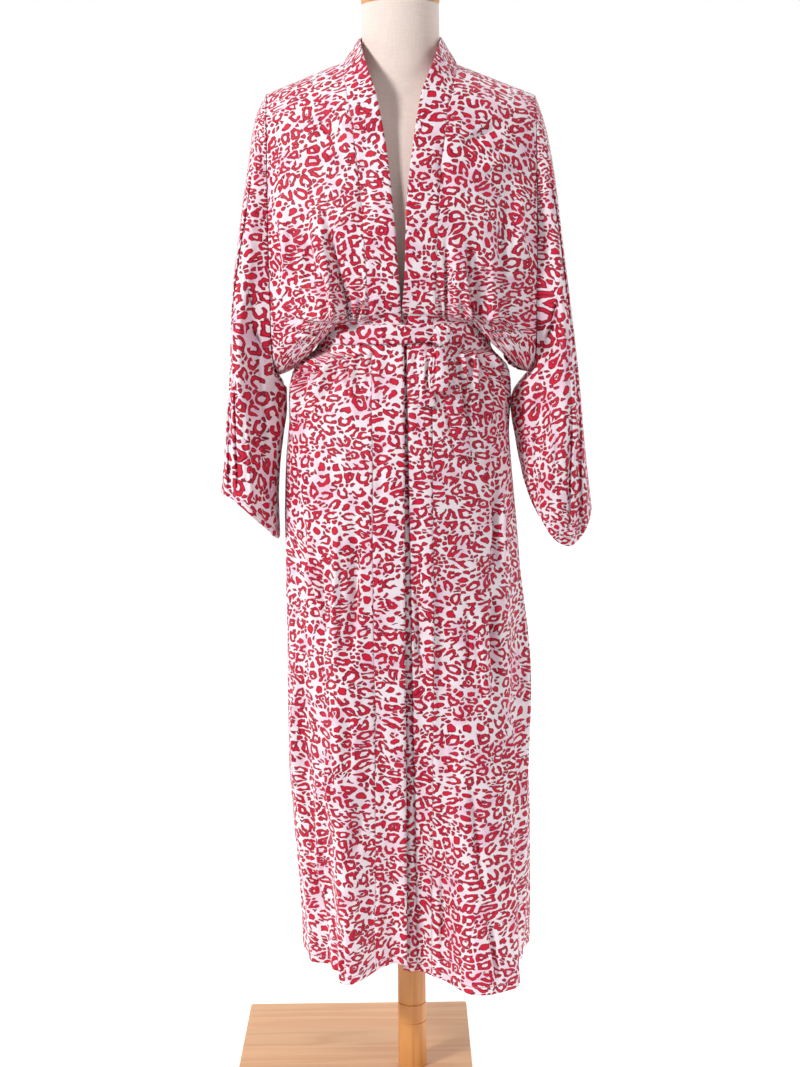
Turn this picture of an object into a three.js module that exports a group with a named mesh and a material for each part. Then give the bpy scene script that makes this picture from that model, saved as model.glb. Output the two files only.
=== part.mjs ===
// Long open kimono robe with its tie belt, hanging on a limbless dress form that stands on a board.
// Millimetres, +Z up. The origin is under the board, on the axis of the pole. The robe's front faces
// -Y and its wearer's right side is at -X. Every sewn piece is a thin closed wall of its own.
import * as THREE from 'three';

// Cloth
const WALL = 1.6;              // thickness that every cloth piece has
const SEAM = 0.3;              // gap left between two pieces that are sewn together
const ARMHOLE_GAP = 1.1;       // gap between the middles of body and sleeve, which meet at an angle
const UNDERARM_GAP = 2;        // and where both turn under the arm

// Shoulders and neck
const NECK_HALF = 78;          // from the middle to the neck point of the shoulder seam
const LEFT_LOWER = 6;          // the left shoulder hangs this much lower
const LEFT_LOWER_FROM = 1240;  // and is level with the right one from here down
const RIDGE_Y = 8;             // the shoulder seam lies this far behind the pole's axis
const RIDGE_TOP = 1528;        // height of the shoulder seam at the neck point
const SHOULDER_ROUND = 62;     // height over which the cloth turns from the seam into the chest
const BOW = 0.8;               // how squarely the body bows out between its sides, 1 is an ellipse

// Belt
const BELT_TOP = 1161;
const BELT_LOW = 1134;
const BELT_GAP = 0.7;          // the belt's inner face stands this far off the gathered cloth

// Dress form and stand
const NECK_RADIUS = 54;
const CAP_HEIGHT = 24;
const FORM_TOP = 1603;
const FORM_LOW = 830;
const POLE_RADIUS = 21.5;
const GROOVE_HEIGHTS = [98, 128];
const GROOVE_DEPTH = 1.6;
const BOARD_THICK = 25;
const BOARD_X = [-268, 92];
const BOARD_Y = [-165, 223];
const BOARD_CORNER = 4;

// Sections of the body from the shoulder seam down to the hem. inner and outer are the heights of a
// section at the opening and at the side, right and left its half widths to either side, front and
// back its depths at the middle, sideF and sideB its depths at the side, and turn the angle through
// which it has turned when it gets there. Underarm is the section where the armhole ends.
const SECTIONS = [
  { inner: RIDGE_TOP, outer: 1484, right: 190, left: 188, front: -58, back: 66, sideF: 8, sideB: 8, turn: 62 },
  { inner: 1516, outer: 1474, right: 190, left: 188, front: -68, back: 74, sideF: -22, sideB: 30, turn: 62 },
  { inner: 1494, outer: 1452, right: 190, left: 188, front: -80, back: 84, sideF: -34, sideB: 38, turn: 62 },
  { inner: 1452, outer: 1410, right: 189, left: 187, front: -96, back: 96, sideF: -42, sideB: 44, turn: 62 },
  { inner: 1380, outer: 1338, right: 189, left: 187, front: -114, back: 108, sideF: -47, sideB: 48, turn: 62 },
  { inner: 1300, outer: 1260, right: 189, left: 187, front: -124, back: 112, sideF: -50, sideB: 50, turn: 62 },
  { inner: 1232, outer: 1184, right: 188, left: 187, front: -118, back: 108, sideF: -49, sideB: 48, turn: 64 },
  { inner: 1192, outer: 1120, right: 187, left: 186, front: -110, back: 102, sideF: -40, sideB: 40, turn: 70 },
  { inner: 1184, outer: 1088, right: 183, left: 181, front: -107, back: 100, sideF: -6, sideB: 6, turn: 80 },
  { inner: 1178, outer: 1098, right: 159, left: 160, front: -104, back: 98, sideF: 0, sideB: 0, turn: 86 },
  { inner: 1172, outer: 1172, right: 130, left: 132, front: -99, back: 93, sideF: 0, sideB: 0, turn: 90 },
  { inner: 1152, outer: 1152, right: 122, left: 124, front: -97, back: 91, sideF: 0, sideB: 0, turn: 90 },
  { inner: 1132, outer: 1132, right: 124, left: 124, front: -97, back: 91, sideF: 0, sideB: 0, turn: 90 },
  { inner: 1104, outer: 1104, right: 143, left: 134, front: -104, back: 101, sideF: 0, sideB: 0, turn: 90 },
  { inner: 1040, outer: 1040, right: 164, left: 146, front: -117, back: 119, sideF: 0, sideB: 0, turn: 90 },
  { inner: 940, outer: 940, right: 175, left: 156, front: -126, back: 132, sideF: 0, sideB: 0, turn: 90 },
  { inner: 835, outer: 835, right: 178, left: 164, front: -126, back: 134, sideF: 0, sideB: 0, turn: 90 },
  { inner: 690, outer: 690, right: 178, left: 172, front: -116, back: 130, sideF: 0, sideB: 0, turn: 90 },
  { inner: 510, outer: 510, right: 178, left: 176, front: -106, back: 126, sideF: 0, sideB: 0, turn: 90 },
  { inner: 400, outer: 400, right: 171, left: 178, front: -100, back: 124, sideF: 0, sideB: 0, turn: 90 },
  { inner: 300, outer: 300, right: 161, left: 176, front: -94, back: 121, sideF: 0, sideB: 0, turn: 90 },
  { inner: 206, outer: 204, right: 155, left: 171, front: -88, back: 118, sideF: 0, sideB: 0, turn: 90 },
];
const UNDERARM = 8;
const LAST = SECTIONS.length - 1;

// The front opening by height: x of the free edge of the right and of the left front, how wide the
// collar band looks from the front, and how far its free edge stands above its seam.
const OPENING = [
  { z: 1528, right: -58, left: 57, band: 20, rise: 30 },
  { z: 1505, right: -51, left: 47, band: 28, rise: 20 },
  { z: 1467, right: -35, left: 27, band: 38, rise: 7 },
  { z: 1395, right: -21, left: 13, band: 43, rise: 0 },
  { z: 1315, right: -13, left: 4, band: 44, rise: 0 },
  { z: 1230, right: -7, left: 1, band: 44, rise: 0 },
  { z: 1169, right: -4, left: -4, band: 44, rise: 0 },
  { z: 1120, right: -1, left: -7, band: 45, rise: 0 },
  { z: 700, right: -4, left: -9, band: 45, rise: 0 },
  { z: 200, right: -7, left: -14, band: 45, rise: 0 },
];

// Folds of the skirt, each a ridge (deep above 0) or a trough that grows from its top to its foot.
// at is its place in degrees from the front middle, right side negative and left side positive;
// inward and outward are its half widths towards and away from the front middle, in degrees.
const FOLDS = [
  { at: -30, inward: 13, outward: 16, deep: 40, top: 900, grow: 1.4 },
  { at: -10, inward: 9, outward: 9, deep: -14, top: 800, grow: 1.2 },
  { at: -62, inward: 15, outward: 15, deep: -16, top: 980, grow: 1.0 },
  { at: 24, inward: 9, outward: 16, deep: 54, top: 860, grow: 1.5 },
  { at: 40, inward: 18, outward: 24, deep: 58, top: 900, grow: 1.5 },
  { at: 6, inward: 12, outward: 9, deep: -26, top: 860, grow: 1.3 },
  { at: 68, inward: 14, outward: 12, deep: -14, top: 1010, grow: 0.8 },
  { at: -104, inward: 16, outward: 16, deep: 16, top: 860, grow: 1.1 },
  { at: -130, inward: 14, outward: 14, deep: -22, top: 1000, grow: 0.9 },
  { at: -152, inward: 13, outward: 13, deep: 20, top: 940, grow: 1.1 },
  { at: -174, inward: 13, outward: 13, deep: -18, top: 1020, grow: 0.9 },
  { at: 158, inward: 14, outward: 14, deep: 22, top: 900, grow: 1.2 },
  { at: 132, inward: 13, outward: 13, deep: -20, top: 1000, grow: 0.9 },
  { at: 106, inward: 15, outward: 15, deep: 18, top: 880, grow: 1.1 },
];

// Folds that run down the chest and the upper back into the belt, deepest just above it.
const GATHERS = [
  { at: -33, wide: 6, deep: -16, top: 1350 },
  { at: -24, wide: 4, deep: -7, top: 1240 },
  { at: 24, wide: 4, deep: -12, top: 1310 },
  { at: 37, wide: 7, deep: -14, top: 1330 },
  { at: -150, wide: 9, deep: -14, top: 1340 },
  { at: -172, wide: 8, deep: -10, top: 1300 },
  { at: 165, wide: 8, deep: -12, top: 1360 },
  { at: 143, wide: 8, deep: -12, top: 1290 },
];
const GATHER_LOW = 1168;

// How the hem's height differs from its section, by degrees from the front middle.
const HEM = [
  { at: -180, lift: -2 }, { at: -95, lift: 0 }, { at: -45, lift: 0 }, { at: -29, lift: -4 },
  { at: -15, lift: 11 }, { at: -1, lift: 13 }, { at: 1, lift: -4 }, { at: 13, lift: -7 },
  { at: 22, lift: -13 }, { at: 34, lift: -12 }, { at: 60, lift: -5 }, { at: 90, lift: 0 },
  { at: 180, lift: -2 },
];
const HEM_REACH = 260;         // the hem's unevenness fades out this far above it
const TUCK_TOP = 1190;         // the left front begins to slip under the right one at this height
const TUCK_DEEP = 3.4;         // and lies this far behind it at the middle
const TUCK_WIDE = 26;          // over this width

// Sleeves by length from armhole to cuff: x and z of the fold on top and of the underarm fold, the
// depths in front and behind, how closely the cloth hangs under the top fold before it turns in to
// the underarm (hug), and how far it sags between the two. x is counted outwards.
const SLEEVES = {
  right: [
    { along: 0.00, topX: 191, topZ: 1484, lowX: 187, lowZ: 1085, front: -50, back: 50, hug: 10, sag: 0 },
    { along: 0.12, topX: 208, topZ: 1448, lowX: 184, lowZ: 1077, front: -56, back: 54, hug: 14, sag: 0 },
    { along: 0.25, topX: 218, topZ: 1388, lowX: 172, lowZ: 1066, front: -60, back: 58, hug: 11, sag: 0 },
    { along: 0.40, topX: 232, topZ: 1300, lowX: 172, lowZ: 1040, front: -66, back: 64, hug: 6, sag: 0 },
    { along: 0.55, topX: 243, topZ: 1208, lowX: 178, lowZ: 998, front: -72, back: 70, hug: 3.5, sag: 0 },
    { along: 0.70, topX: 248, topZ: 1112, lowX: 184, lowZ: 952, front: -77, back: 76, hug: 2.5, sag: -2 },
    { along: 0.85, topX: 257, topZ: 1018, lowX: 187, lowZ: 902, front: -80, back: 82, hug: 1.6, sag: -7 },
    { along: 1.00, topX: 268, topZ: 922, lowX: 187, lowZ: 850, front: -80, back: 86, hug: 1, sag: -14 },
  ],
  left: [
    { along: 0.00, topX: 189, topZ: 1484, lowX: 186, lowZ: 1085, front: -50, back: 50, hug: 10, sag: 0 },
    { along: 0.12, topX: 203, topZ: 1442, lowX: 183, lowZ: 1077, front: -56, back: 54, hug: 14, sag: 0 },
    { along: 0.25, topX: 215, topZ: 1376, lowX: 161, lowZ: 1064, front: -60, back: 58, hug: 11, sag: 0 },
    { along: 0.40, topX: 225, topZ: 1290, lowX: 154, lowZ: 1042, front: -66, back: 64, hug: 6, sag: 4 },
    { along: 0.55, topX: 236, topZ: 1200, lowX: 156, lowZ: 1018, front: -72, back: 70, hug: 3.5, sag: 14 },
    { along: 0.70, topX: 247, topZ: 1106, lowX: 160, lowZ: 996, front: -77, back: 76, hug: 2.5, sag: 30 },
    { along: 0.85, topX: 257, topZ: 1002, lowX: 164, lowZ: 972, front: -80, back: 82, hug: 1.6, sag: 50 },
    { along: 1.00, topX: 270, topZ: 894, lowX: 170, lowZ: 948, front: -80, back: 86, hug: 1, sag: 74 },
  ],
};
// Long soft flutes of a sleeve: place round it in degrees from its top fold, front side positive.
const FLUTES = [
  { at: 62, wide: 20, deep: -9 }, { at: 100, wide: 18, deep: 6 }, { at: 132, wide: 14, deep: -10 },
  { at: -58, wide: 20, deep: -10 }, { at: -98, wide: 18, deep: 7 }, { at: -134, wide: 14, deep: -9 },
];

// Dress form: half width, depths in front and behind and squareness (1 is an ellipse) by height.
const FORM = [
  { z: 830, wide: 134, front: -84, back: 92, square: 0.86 },
  { z: 846, wide: 143, front: -92, back: 100, square: 0.86 },
  { z: 900, wide: 149, front: -98, back: 108, square: 0.86 },
  { z: 960, wide: 147, front: -100, back: 108, square: 0.86 },
  { z: 1050, wide: 129, front: -92, back: 94, square: 0.88 },
  { z: 1140, wide: 112, front: -82, back: 78, square: 0.9 },
  { z: 1210, wide: 126, front: -98, back: 88, square: 0.88 },
  { z: 1290, wide: 148, front: -110, back: 98, square: 0.88 },
  { z: 1360, wide: 160, front: -102, back: 98, square: 0.88 },
  { z: 1420, wide: 170, front: -84, back: 84, square: 0.9 },
  { z: 1450, wide: 164, front: -68, back: 70, square: 0.92 },
  { z: 1478, wide: 124, front: -54, back: 60, square: 0.95 },
  { z: 1500, wide: 82, front: -50, back: 57, square: 1 },
  { z: 1516, wide: 63, front: -50, back: 55, square: 1 },
  { z: 1545, wide: 54.5, front: -52, back: 54, square: 1 },
  { z: 1603, wide: 54, front: -54, back: 54, square: 1 },
];

// Materials
const PRINTED_CLOTH = { color: 0xd9a3b0, roughness: 0.75, metalness: 0 };
const LINEN = { color: 0xe8d8d0, roughness: 0.85, metalness: 0 };
const TURNED_PINE = { color: 0xd8a060, roughness: 0.5, metalness: 0 };
const BOARD_PINE = { color: 0xe2b48e, roughness: 0.55, metalness: 0 };

const rad = THREE.MathUtils.degToRad;
const clamp = THREE.MathUtils.clamp;
const lerp = THREE.MathUtils.lerp;
const smooth = (x) => THREE.MathUtils.smoothstep(x, 0, 1);
const hump = (x) => (Math.abs(x) < 1 ? Math.cos((x * Math.PI) / 2) ** 2 : 0);

// Value of one column of a table at a key, on a smooth curve that doesn't overshoot its rows.
function read(rows, keys, column, key) {
  const n = rows.length;
  const up = keys[n - 1] > keys[0];
  const inside = up ? clamp(key, keys[0], keys[n - 1]) : clamp(key, keys[n - 1], keys[0]);
  let i = 0;
  while (i < n - 2 && (up ? inside > keys[i + 1] : inside < keys[i + 1])) i += 1;
  const rate = (k) => (rows[k + 1][column] - rows[k][column]) / (keys[k + 1] - keys[k]);
  const slope = (k) => {
    if (k === 0) return rate(0);
    if (k === n - 1) return rate(n - 2);
    const a = rate(k - 1);
    const b = rate(k);
    return a * b <= 0 ? 0 : (2 * a * b) / (a + b);
  };
  const h = keys[i + 1] - keys[i];
  const t = (inside - keys[i]) / h;
  const t2 = t * t;
  const t3 = t2 * t;
  return (2 * t3 - 3 * t2 + 1) * rows[i][column] + (t3 - 2 * t2 + t) * h * slope(i)
    + (3 * t2 - 2 * t3) * rows[i + 1][column] + (t3 - t2) * h * slope(i + 1);
}

const columnReader = (rows, name) => {
  const keys = rows.map((row, index) => (name === null ? index : row[name]));
  return (column, key) => read(rows, keys, column, key);
};
const section = columnReader(SECTIONS, null);
const opening = columnReader(OPENING, 'z');
const hemLift = columnReader(HEM, 'at');
const form = columnReader(FORM, 'z');
const sleeve = { right: columnReader(SLEEVES.right, 'along'), left: columnReader(SLEEVES.left, 'along') };

const sideName = (sign) => (sign < 0 ? 'right' : 'left');

// Shortest way round from one angle to another, in degrees.
const between = (a, b) => ((((a - b) % 360) + 540) % 360) - 180;

// How far the folds push the cloth out at a height and an angle from the front middle.
function foldDepth(angle, z) {
  let depth = 0;
  for (const fold of FOLDS) {
    const off = between(angle, fold.at);
    const away = off * Math.sign(fold.at) > 0;
    const grown = clamp((fold.top - z) / (fold.top - SECTIONS[LAST].inner), 0, 1.1) ** fold.grow;
    depth += fold.deep * grown * hump(off / (away ? fold.outward : fold.inward));
  }
  for (const fold of GATHERS) {
    if (z > GATHER_LOW - 40 && z < fold.top) {
      const down = clamp((fold.top - z) / (fold.top - GATHER_LOW), 0, 1) ** 0.8;
      const leave = smooth((z - GATHER_LOW + 14) / 26);
      depth += fold.deep * down * leave * hump(between(angle, fold.at) / fold.wide);
    }
  }
  return depth;
}

// Height of the shoulder seam's line at a place, which runs on past the neck point towards the neck.
function ridgeHeight(sign, across) {
  const { inner, outer } = SECTIONS[0];
  const half = SECTIONS[0][sideName(sign)];
  return inner - ((across - NECK_HALF) * (inner - outer)) / (half - NECK_HALF);
}

// Point of the body's cloth on a section (0 to LAST), at a side (-1 right, 1 left) and a place x
// counted outwards from the middle, in front or behind.
function bodyPoint(t, sign, across, front) {
  const half = section(sideName(sign), t);
  const inner = section('inner', t);
  const turn = rad(section('turn', t));
  const x = Math.min(across, half);
  const phi = Math.asin(clamp((x / half) * Math.sin(turn), -1, 1));
  const out = Math.max(0, (x - NECK_HALF) / (half - NECK_HALF));
  let z = lerp(inner, section('outer', t), clamp(out, 0, 1));
  const end = Math.max(Math.cos(turn), 0) ** BOW;
  const bow = (Math.max(Math.cos(phi), 0) ** BOW - end) / (1 - end);
  const side = section(front ? 'sideF' : 'sideB', t);
  const deep = lerp(side, section(front ? 'front' : 'back', t), bow);
  const drop = ridgeHeight(sign, x) - z;
  const round = clamp(drop / SHOULDER_ROUND, 0, 1);
  const y = RIDGE_Y + (deep - RIDGE_Y) * Math.sqrt(1 - (1 - round) ** 2);
  const face = THREE.MathUtils.radToDeg(phi);
  const angle = sign * (front ? face : 180 - face);
  const push = foldDepth(angle, z);
  const low = 1 - smooth((z - SECTIONS[LAST].inner) / HEM_REACH);
  z += hemLift('lift', angle) * low;
  if (sign > 0) {
    const high = smooth((z - LEFT_LOWER_FROM) / (RIDGE_TOP - LEFT_LOWER_FROM));
    z -= LEFT_LOWER * high * Math.min(x / NECK_HALF, 1);
  }
  const nx = Math.sin(phi);
  const ny = (front ? -1 : 1) * Math.cos(phi);
  return new THREE.Vector3(sign * (x + nx * push), y + ny * push, z);
}

// The left front lies behind the right one at the middle, from just above the belt down.
function tuck(point) {
  const down = smooth((TUCK_TOP - point.z) / 30);
  const near = smooth((TUCK_WIDE - point.x) / TUCK_WIDE);
  point.y += TUCK_DEEP * down * near;
  return point;
}

function frontPoint(t, sign, across) {
  const point = bodyPoint(t, sign, Math.abs(across), true);
  if (across < 0) point.x = -point.x;
  return sign > 0 ? tuck(point) : point;
}

// Places of the collar band's free edge and seam, counted outwards from the middle.
const edgeAcross = (z, sign) => sign * opening(sideName(sign), z);
const seamAcross = (z, sign) => edgeAcross(z, sign) + opening('band', z);

// Closed wall of even thickness round a grid of points on its middle surface. beyond holds the
// neighbours' points past its top and bottom row and its first and last column, so that two sewn
// pieces end square to each other. wrapped joins the last column to the first.
function wall(grid, beyond = {}, wrapped = false, thick = WALL) {
  const rows = grid.length;
  const cols = grid[0].length;
  const at = (i, j) => {
    if (wrapped) return grid[clamp(i, 0, rows - 1)][(j + cols) % cols];
    if (i < 0) return beyond.top ? beyond.top[j] : grid[0][j];
    if (i >= rows) return beyond.bottom ? beyond.bottom[j] : grid[rows - 1][j];
    if (j < 0) return beyond.first ? beyond.first[i] : grid[i][0];
    if (j >= cols) return beyond.last && beyond.last[i] ? beyond.last[i] : grid[i][cols - 1];
    return grid[i][j];
  };
  const normals = grid.map((row, i) => row.map((p, j) => {
    const along = at(i, j + 1).clone().sub(at(i, j - 1));
    const down = at(i + 1, j).clone().sub(at(i - 1, j));
    return along.cross(down).normalize();
  }));
  const points = [];
  for (const side of [1, -1]) {
    grid.forEach((row, i) => row.forEach((p, j) => {
      points.push(p.clone().addScaledVector(normals[i][j], (side * thick) / 2));
    }));
  }
  const faces = [];
  const id = (side, i, j) => side * rows * cols + i * cols + (wrapped ? (j + cols) % cols : j);
  const quad = (a, b, c, d) => faces.push(a, b, c, a, c, d);
  const lastCol = wrapped ? cols : cols - 1;
  for (let i = 0; i < rows - 1; i += 1) {
    for (let j = 0; j < lastCol; j += 1) {
      quad(id(0, i, j), id(0, i, j + 1), id(0, i + 1, j + 1), id(0, i + 1, j));
      quad(id(1, i, j), id(1, i + 1, j), id(1, i + 1, j + 1), id(1, i, j + 1));
    }
  }
  for (let j = 0; j < lastCol; j += 1) {
    quad(id(0, 0, j + 1), id(0, 0, j), id(1, 0, j), id(1, 0, j + 1));
    quad(id(0, rows - 1, j), id(0, rows - 1, j + 1), id(1, rows - 1, j + 1), id(1, rows - 1, j));
  }
  for (let i = 0; i < rows - 1 && !wrapped; i += 1) {
    quad(id(0, i, 0), id(0, i + 1, 0), id(1, i + 1, 0), id(1, i, 0));
    quad(id(0, i + 1, cols - 1), id(0, i, cols - 1), id(1, i, cols - 1), id(1, i + 1, cols - 1));
  }
  const geometry = new THREE.BufferGeometry();
  const values = points.flatMap((p) => p.toArray());
  geometry.setAttribute('position', new THREE.Float32BufferAttribute(values, 3));
  geometry.setIndex(faces);
  return geometry;
}

// Closed solid through rings of points, each ring anticlockwise from above, lowest ring first.
function loft(rings) {
  const n = rings[0].length;
  const points = rings.flat();
  const faces = [];
  for (let i = 0; i < rings.length - 1; i += 1) {
    for (let j = 0; j < n; j += 1) {
      const a = i * n + j;
      const b = i * n + ((j + 1) % n);
      faces.push(a, b, b + n, a, b + n, a + n);
    }
  }
  const middle = (ring) => ring.reduce((sum, p) => sum.add(p), new THREE.Vector3()).divideScalar(n);
  points.push(middle(rings[0]), middle(rings[rings.length - 1]));
  const top = (rings.length - 1) * n;
  for (let j = 0; j < n; j += 1) {
    faces.push(rings.length * n, (j + 1) % n, j);
    faces.push(rings.length * n + 1, top + j, top + ((j + 1) % n));
  }
  const geometry = new THREE.BufferGeometry();
  const values = points.flatMap((p) => p.toArray());
  geometry.setAttribute('position', new THREE.Float32BufferAttribute(values, 3));
  geometry.setIndex(faces);
  return geometry;
}

const steps = (from, to, count) => Array.from({ length: count + 1 }, (_, k) => lerp(from, to, k / count));

// Section values at which the panels have a row: two rows to each section.
const ROWS = steps(0, LAST, 2 * LAST);
const FRONT_COLUMNS = 11;
const BACK_COLUMNS = 22;
const BAND_COLUMNS = 3;
const STEP_PAST = 9;           // how far past a seam the neighbour's point is taken

const acrossAt = (half, turn, phi) => (half * Math.sin(phi)) / Math.sin(turn);

// Side of a panel's row: a little short of the side seam, in front or behind.
function shortOfSide(point, front) {
  point.y += (front ? -1 : 1) * (SEAM / 2);
  return point;
}

function frontPanel(sign) {
  const grid = [];
  const first = [];
  const last = [];
  for (const t of ROWS) {
    const half = section(sideName(sign), t);
    const turn = rad(section('turn', t));
    const z = section('inner', t);
    const seam = seamAcross(z, sign) + SEAM / 2;
    const start = Math.asin((seam / half) * Math.sin(turn));
    const places = steps(start, turn, FRONT_COLUMNS).map((phi) => acrossAt(half, turn, phi));
    const row = places.map((across) => frontPoint(t, sign, across));
    shortOfSide(row[FRONT_COLUMNS], true);
    if (t === 0) row.forEach((p) => { p.y -= SEAM / 2; });
    grid.push(row);
    first.push(frontPoint(t, sign, seam - STEP_PAST));
    const past = acrossAt(half, turn, turn - (turn - start) / FRONT_COLUMNS);
    last.push(t > UNDERARM + 0.5 ? bodyPoint(t, sign, past, false) : null);
  }
  const top = grid[0].map((p) => bodyPoint(ROWS[1], sign, Math.abs(p.x), false));
  return wall(grid, { first, last, top });
}

function backPanel() {
  const grid = [];
  const first = [];
  const last = [];
  for (const t of ROWS) {
    const turn = rad(section('turn', t));
    const row = steps(-1, 1, BACK_COLUMNS).map((part) => {
      const sign = part < 0 ? -1 : 1;
      const half = section(sideName(sign), t);
      return bodyPoint(t, sign, acrossAt(half, turn, Math.abs(part) * turn), false);
    });
    shortOfSide(row[0], false);
    shortOfSide(row[BACK_COLUMNS], false);
    if (t === 0) row.forEach((p) => { p.y += SEAM / 2; });
    grid.push(row);
    const past = Math.sin(turn * (1 - 2 / BACK_COLUMNS)) / Math.sin(turn);
    const below = t > UNDERARM + 0.5;
    first.push(below ? frontPoint(t, -1, past * section('right', t)) : row[0]);
    last.push(below ? frontPoint(t, 1, past * section('left', t)) : null);
  }
  const top = grid[0].map((p) => {
    const sign = p.x < 0 ? -1 : 1;
    return Math.abs(p.x) < NECK_HALF ? p : frontPoint(ROWS[1], sign, Math.abs(p.x));
  });
  return wall(grid, { first, last, top });
}

// Ends of the collar band's width on a section in front: its free edge and its seam.
function bandEnds(t, sign) {
  const z = section('inner', t);
  const seam = frontPoint(t, sign, seamAcross(z, sign) - SEAM / 2);
  const edge = frontPoint(t, sign, edgeAcross(z, sign));
  const rise = opening('rise', z);
  if (rise > 0) {
    const turned = (drop) => Math.sqrt(1 - (1 - clamp(drop / SHOULDER_ROUND, 0, 1)) ** 2);
    const onField = turned(ridgeHeight(sign, Math.abs(edge.x)) - z);
    const standing = turned(OPENING[0].z + OPENING[0].rise - (z + rise));
    edge.y = RIDGE_Y + ((edge.y - RIDGE_Y) * standing) / onField;
    edge.z = z + rise;
  }
  return { edge, seam };
}

function bandRow(t, sign) {
  const z = section('inner', t);
  const parts = steps(0, 1, BAND_COLUMNS);
  if (opening('rise', z) > 0) {
    const { edge, seam } = bandEnds(t, sign);
    return parts.map((part) => edge.clone().lerp(seam, part));
  }
  const seam = seamAcross(z, sign) - SEAM / 2;
  return parts.map((part) => frontPoint(t, sign, lerp(edgeAcross(z, sign), seam, part)));
}

function collarFront(sign) {
  const grid = ROWS.map((t) => bandRow(t, sign));
  const last = ROWS.map((t) => frontPoint(t, sign, seamAcross(section('inner', t), sign) + STEP_PAST));
  grid[0].forEach((p) => { p.y -= SEAM / 2; });
  const top = neckRow(sign * (90 - 90 / NECK_BAND.steps));
  return wall(grid, { last, top });
}

// The collar band behind the neck, from one shoulder seam to the other: how many steps it has on
// each side, how far its free edge stands behind the shoulder seam and how much higher it is there.
const NECK_BAND = { steps: 7, edgeBack: 54, rise: 13 };

function neckRow(degrees) {
  const s = Math.sin(rad(degrees));
  const c = Math.cos(rad(degrees));
  const sign = degrees < 0 ? -1 : 1;
  const seam = bodyPoint(0, sign, NECK_HALF * Math.abs(s), false);
  seam.y += SEAM / 2;
  seam.z += ARMHOLE_GAP;
  const side = bandEnds(0, sign).edge;
  const edge = new THREE.Vector3(Math.abs(side.x) * s, RIDGE_Y + SEAM / 2 + NECK_BAND.edgeBack * c,
    side.z + NECK_BAND.rise * c);
  return steps(0, 1, BAND_COLUMNS).map((part) => edge.clone().lerp(seam, part));
}

function collarNeck() {
  const grid = steps(-90, 90, 2 * NECK_BAND.steps).map(neckRow);
  return wall(grid, { top: bandRow(ROWS[1], -1), bottom: bandRow(ROWS[1], 1) });
}

const SLEEVE_COLUMNS = 22;
const SLEEVE_RINGS = 15;

// Point of a sleeve at a place along it (0 armhole, 1 cuff) and round it: 0 degrees is the fold on
// top, the front half is positive and the underarm fold is at 180.
function sleevePoint(sign, along, degrees) {
  const get = (column, key) => sleeve[sideName(sign)](column, key);
  const c = Math.cos(rad(degrees));
  const s = Math.sin(rad(degrees));
  const inFront = s >= 0;
  const plain = (a) => {
    const part = (1 - Math.sign(c) * Math.abs(c) ** 0.9) / 2;
    const x = lerp(get('topX', a), get('lowX', a), part ** get('hug', a));
    const z = lerp(get('topZ', a), get('lowZ', a), part) - get('sag', a) * Math.abs(s) ** 2;
    const y = get(inFront ? 'front' : 'back', a) * Math.abs(s) ** 0.8 + RIDGE_Y * (1 - a) * (1 - part);
    return new THREE.Vector3(sign * x, y, z);
  };
  const point = plain(along);
  const t = (UNDERARM * Math.acos(c)) / Math.PI;
  const half = section(sideName(sign), t);
  const hole = inFront ? frontPoint(t, sign, half) : bodyPoint(t, sign, half, false);
  hole.x += sign * lerp(ARMHOLE_GAP, UNDERARM_GAP, smooth(t - (UNDERARM - 2)));
  point.addScaledVector(hole.sub(plain(0)), (1 - along) ** 3);
  const angle = inFront ? Math.acos(c) : -Math.acos(c);
  let push = 0;
  for (const flute of FLUTES) {
    push += flute.deep * hump(between(THREE.MathUtils.radToDeg(angle), flute.at) / flute.wide);
  }
  point.y += (inFront ? -1 : 1) * push * smooth(along / 0.6) * Math.abs(s);
  return point;
}

function sleeveTube(sign) {
  const rings = steps(0, 1, SLEEVE_RINGS).map((along) => (
    steps(0, 360, SLEEVE_COLUMNS).slice(0, -1).map((degrees) => sleevePoint(sign, along, degrees))
  ));
  return wall(rings, {}, true);
}

// Plain ring of the body at belt height, moved out.
function waistPoint(t, degrees, out) {
  const turn = Math.abs(between(degrees, 0));
  const sign = between(degrees, 0) < 0 ? -1 : 1;
  const front = turn <= 90;
  const phi = rad(front ? turn : 180 - turn);
  const half = section(sideName(sign), t);
  const deep = section(front ? 'front' : 'back', t);
  const y = deep * Math.max(Math.cos(phi), 0) ** BOW;
  return new THREE.Vector3(sign * (half * Math.sin(phi) + out * Math.sin(phi)),
    y + (front ? -1 : 1) * out * Math.cos(phi), section('inner', t));
}

const BELT_STEPS = 44;
const BELT_ROWS = [10.5, 11.2, 11.9];
const BELT_OUT = WALL + BELT_GAP;

function beltRing() {
  const grid = BELT_ROWS.map((t, k) => steps(0, 360, BELT_STEPS).slice(0, -1).map((degrees) => {
    const point = waistPoint(t, degrees, BELT_OUT);
    point.z = lerp(BELT_TOP, BELT_LOW, k / (BELT_ROWS.length - 1));
    return point;
  }));
  return wall(grid, {}, true);
}

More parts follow.
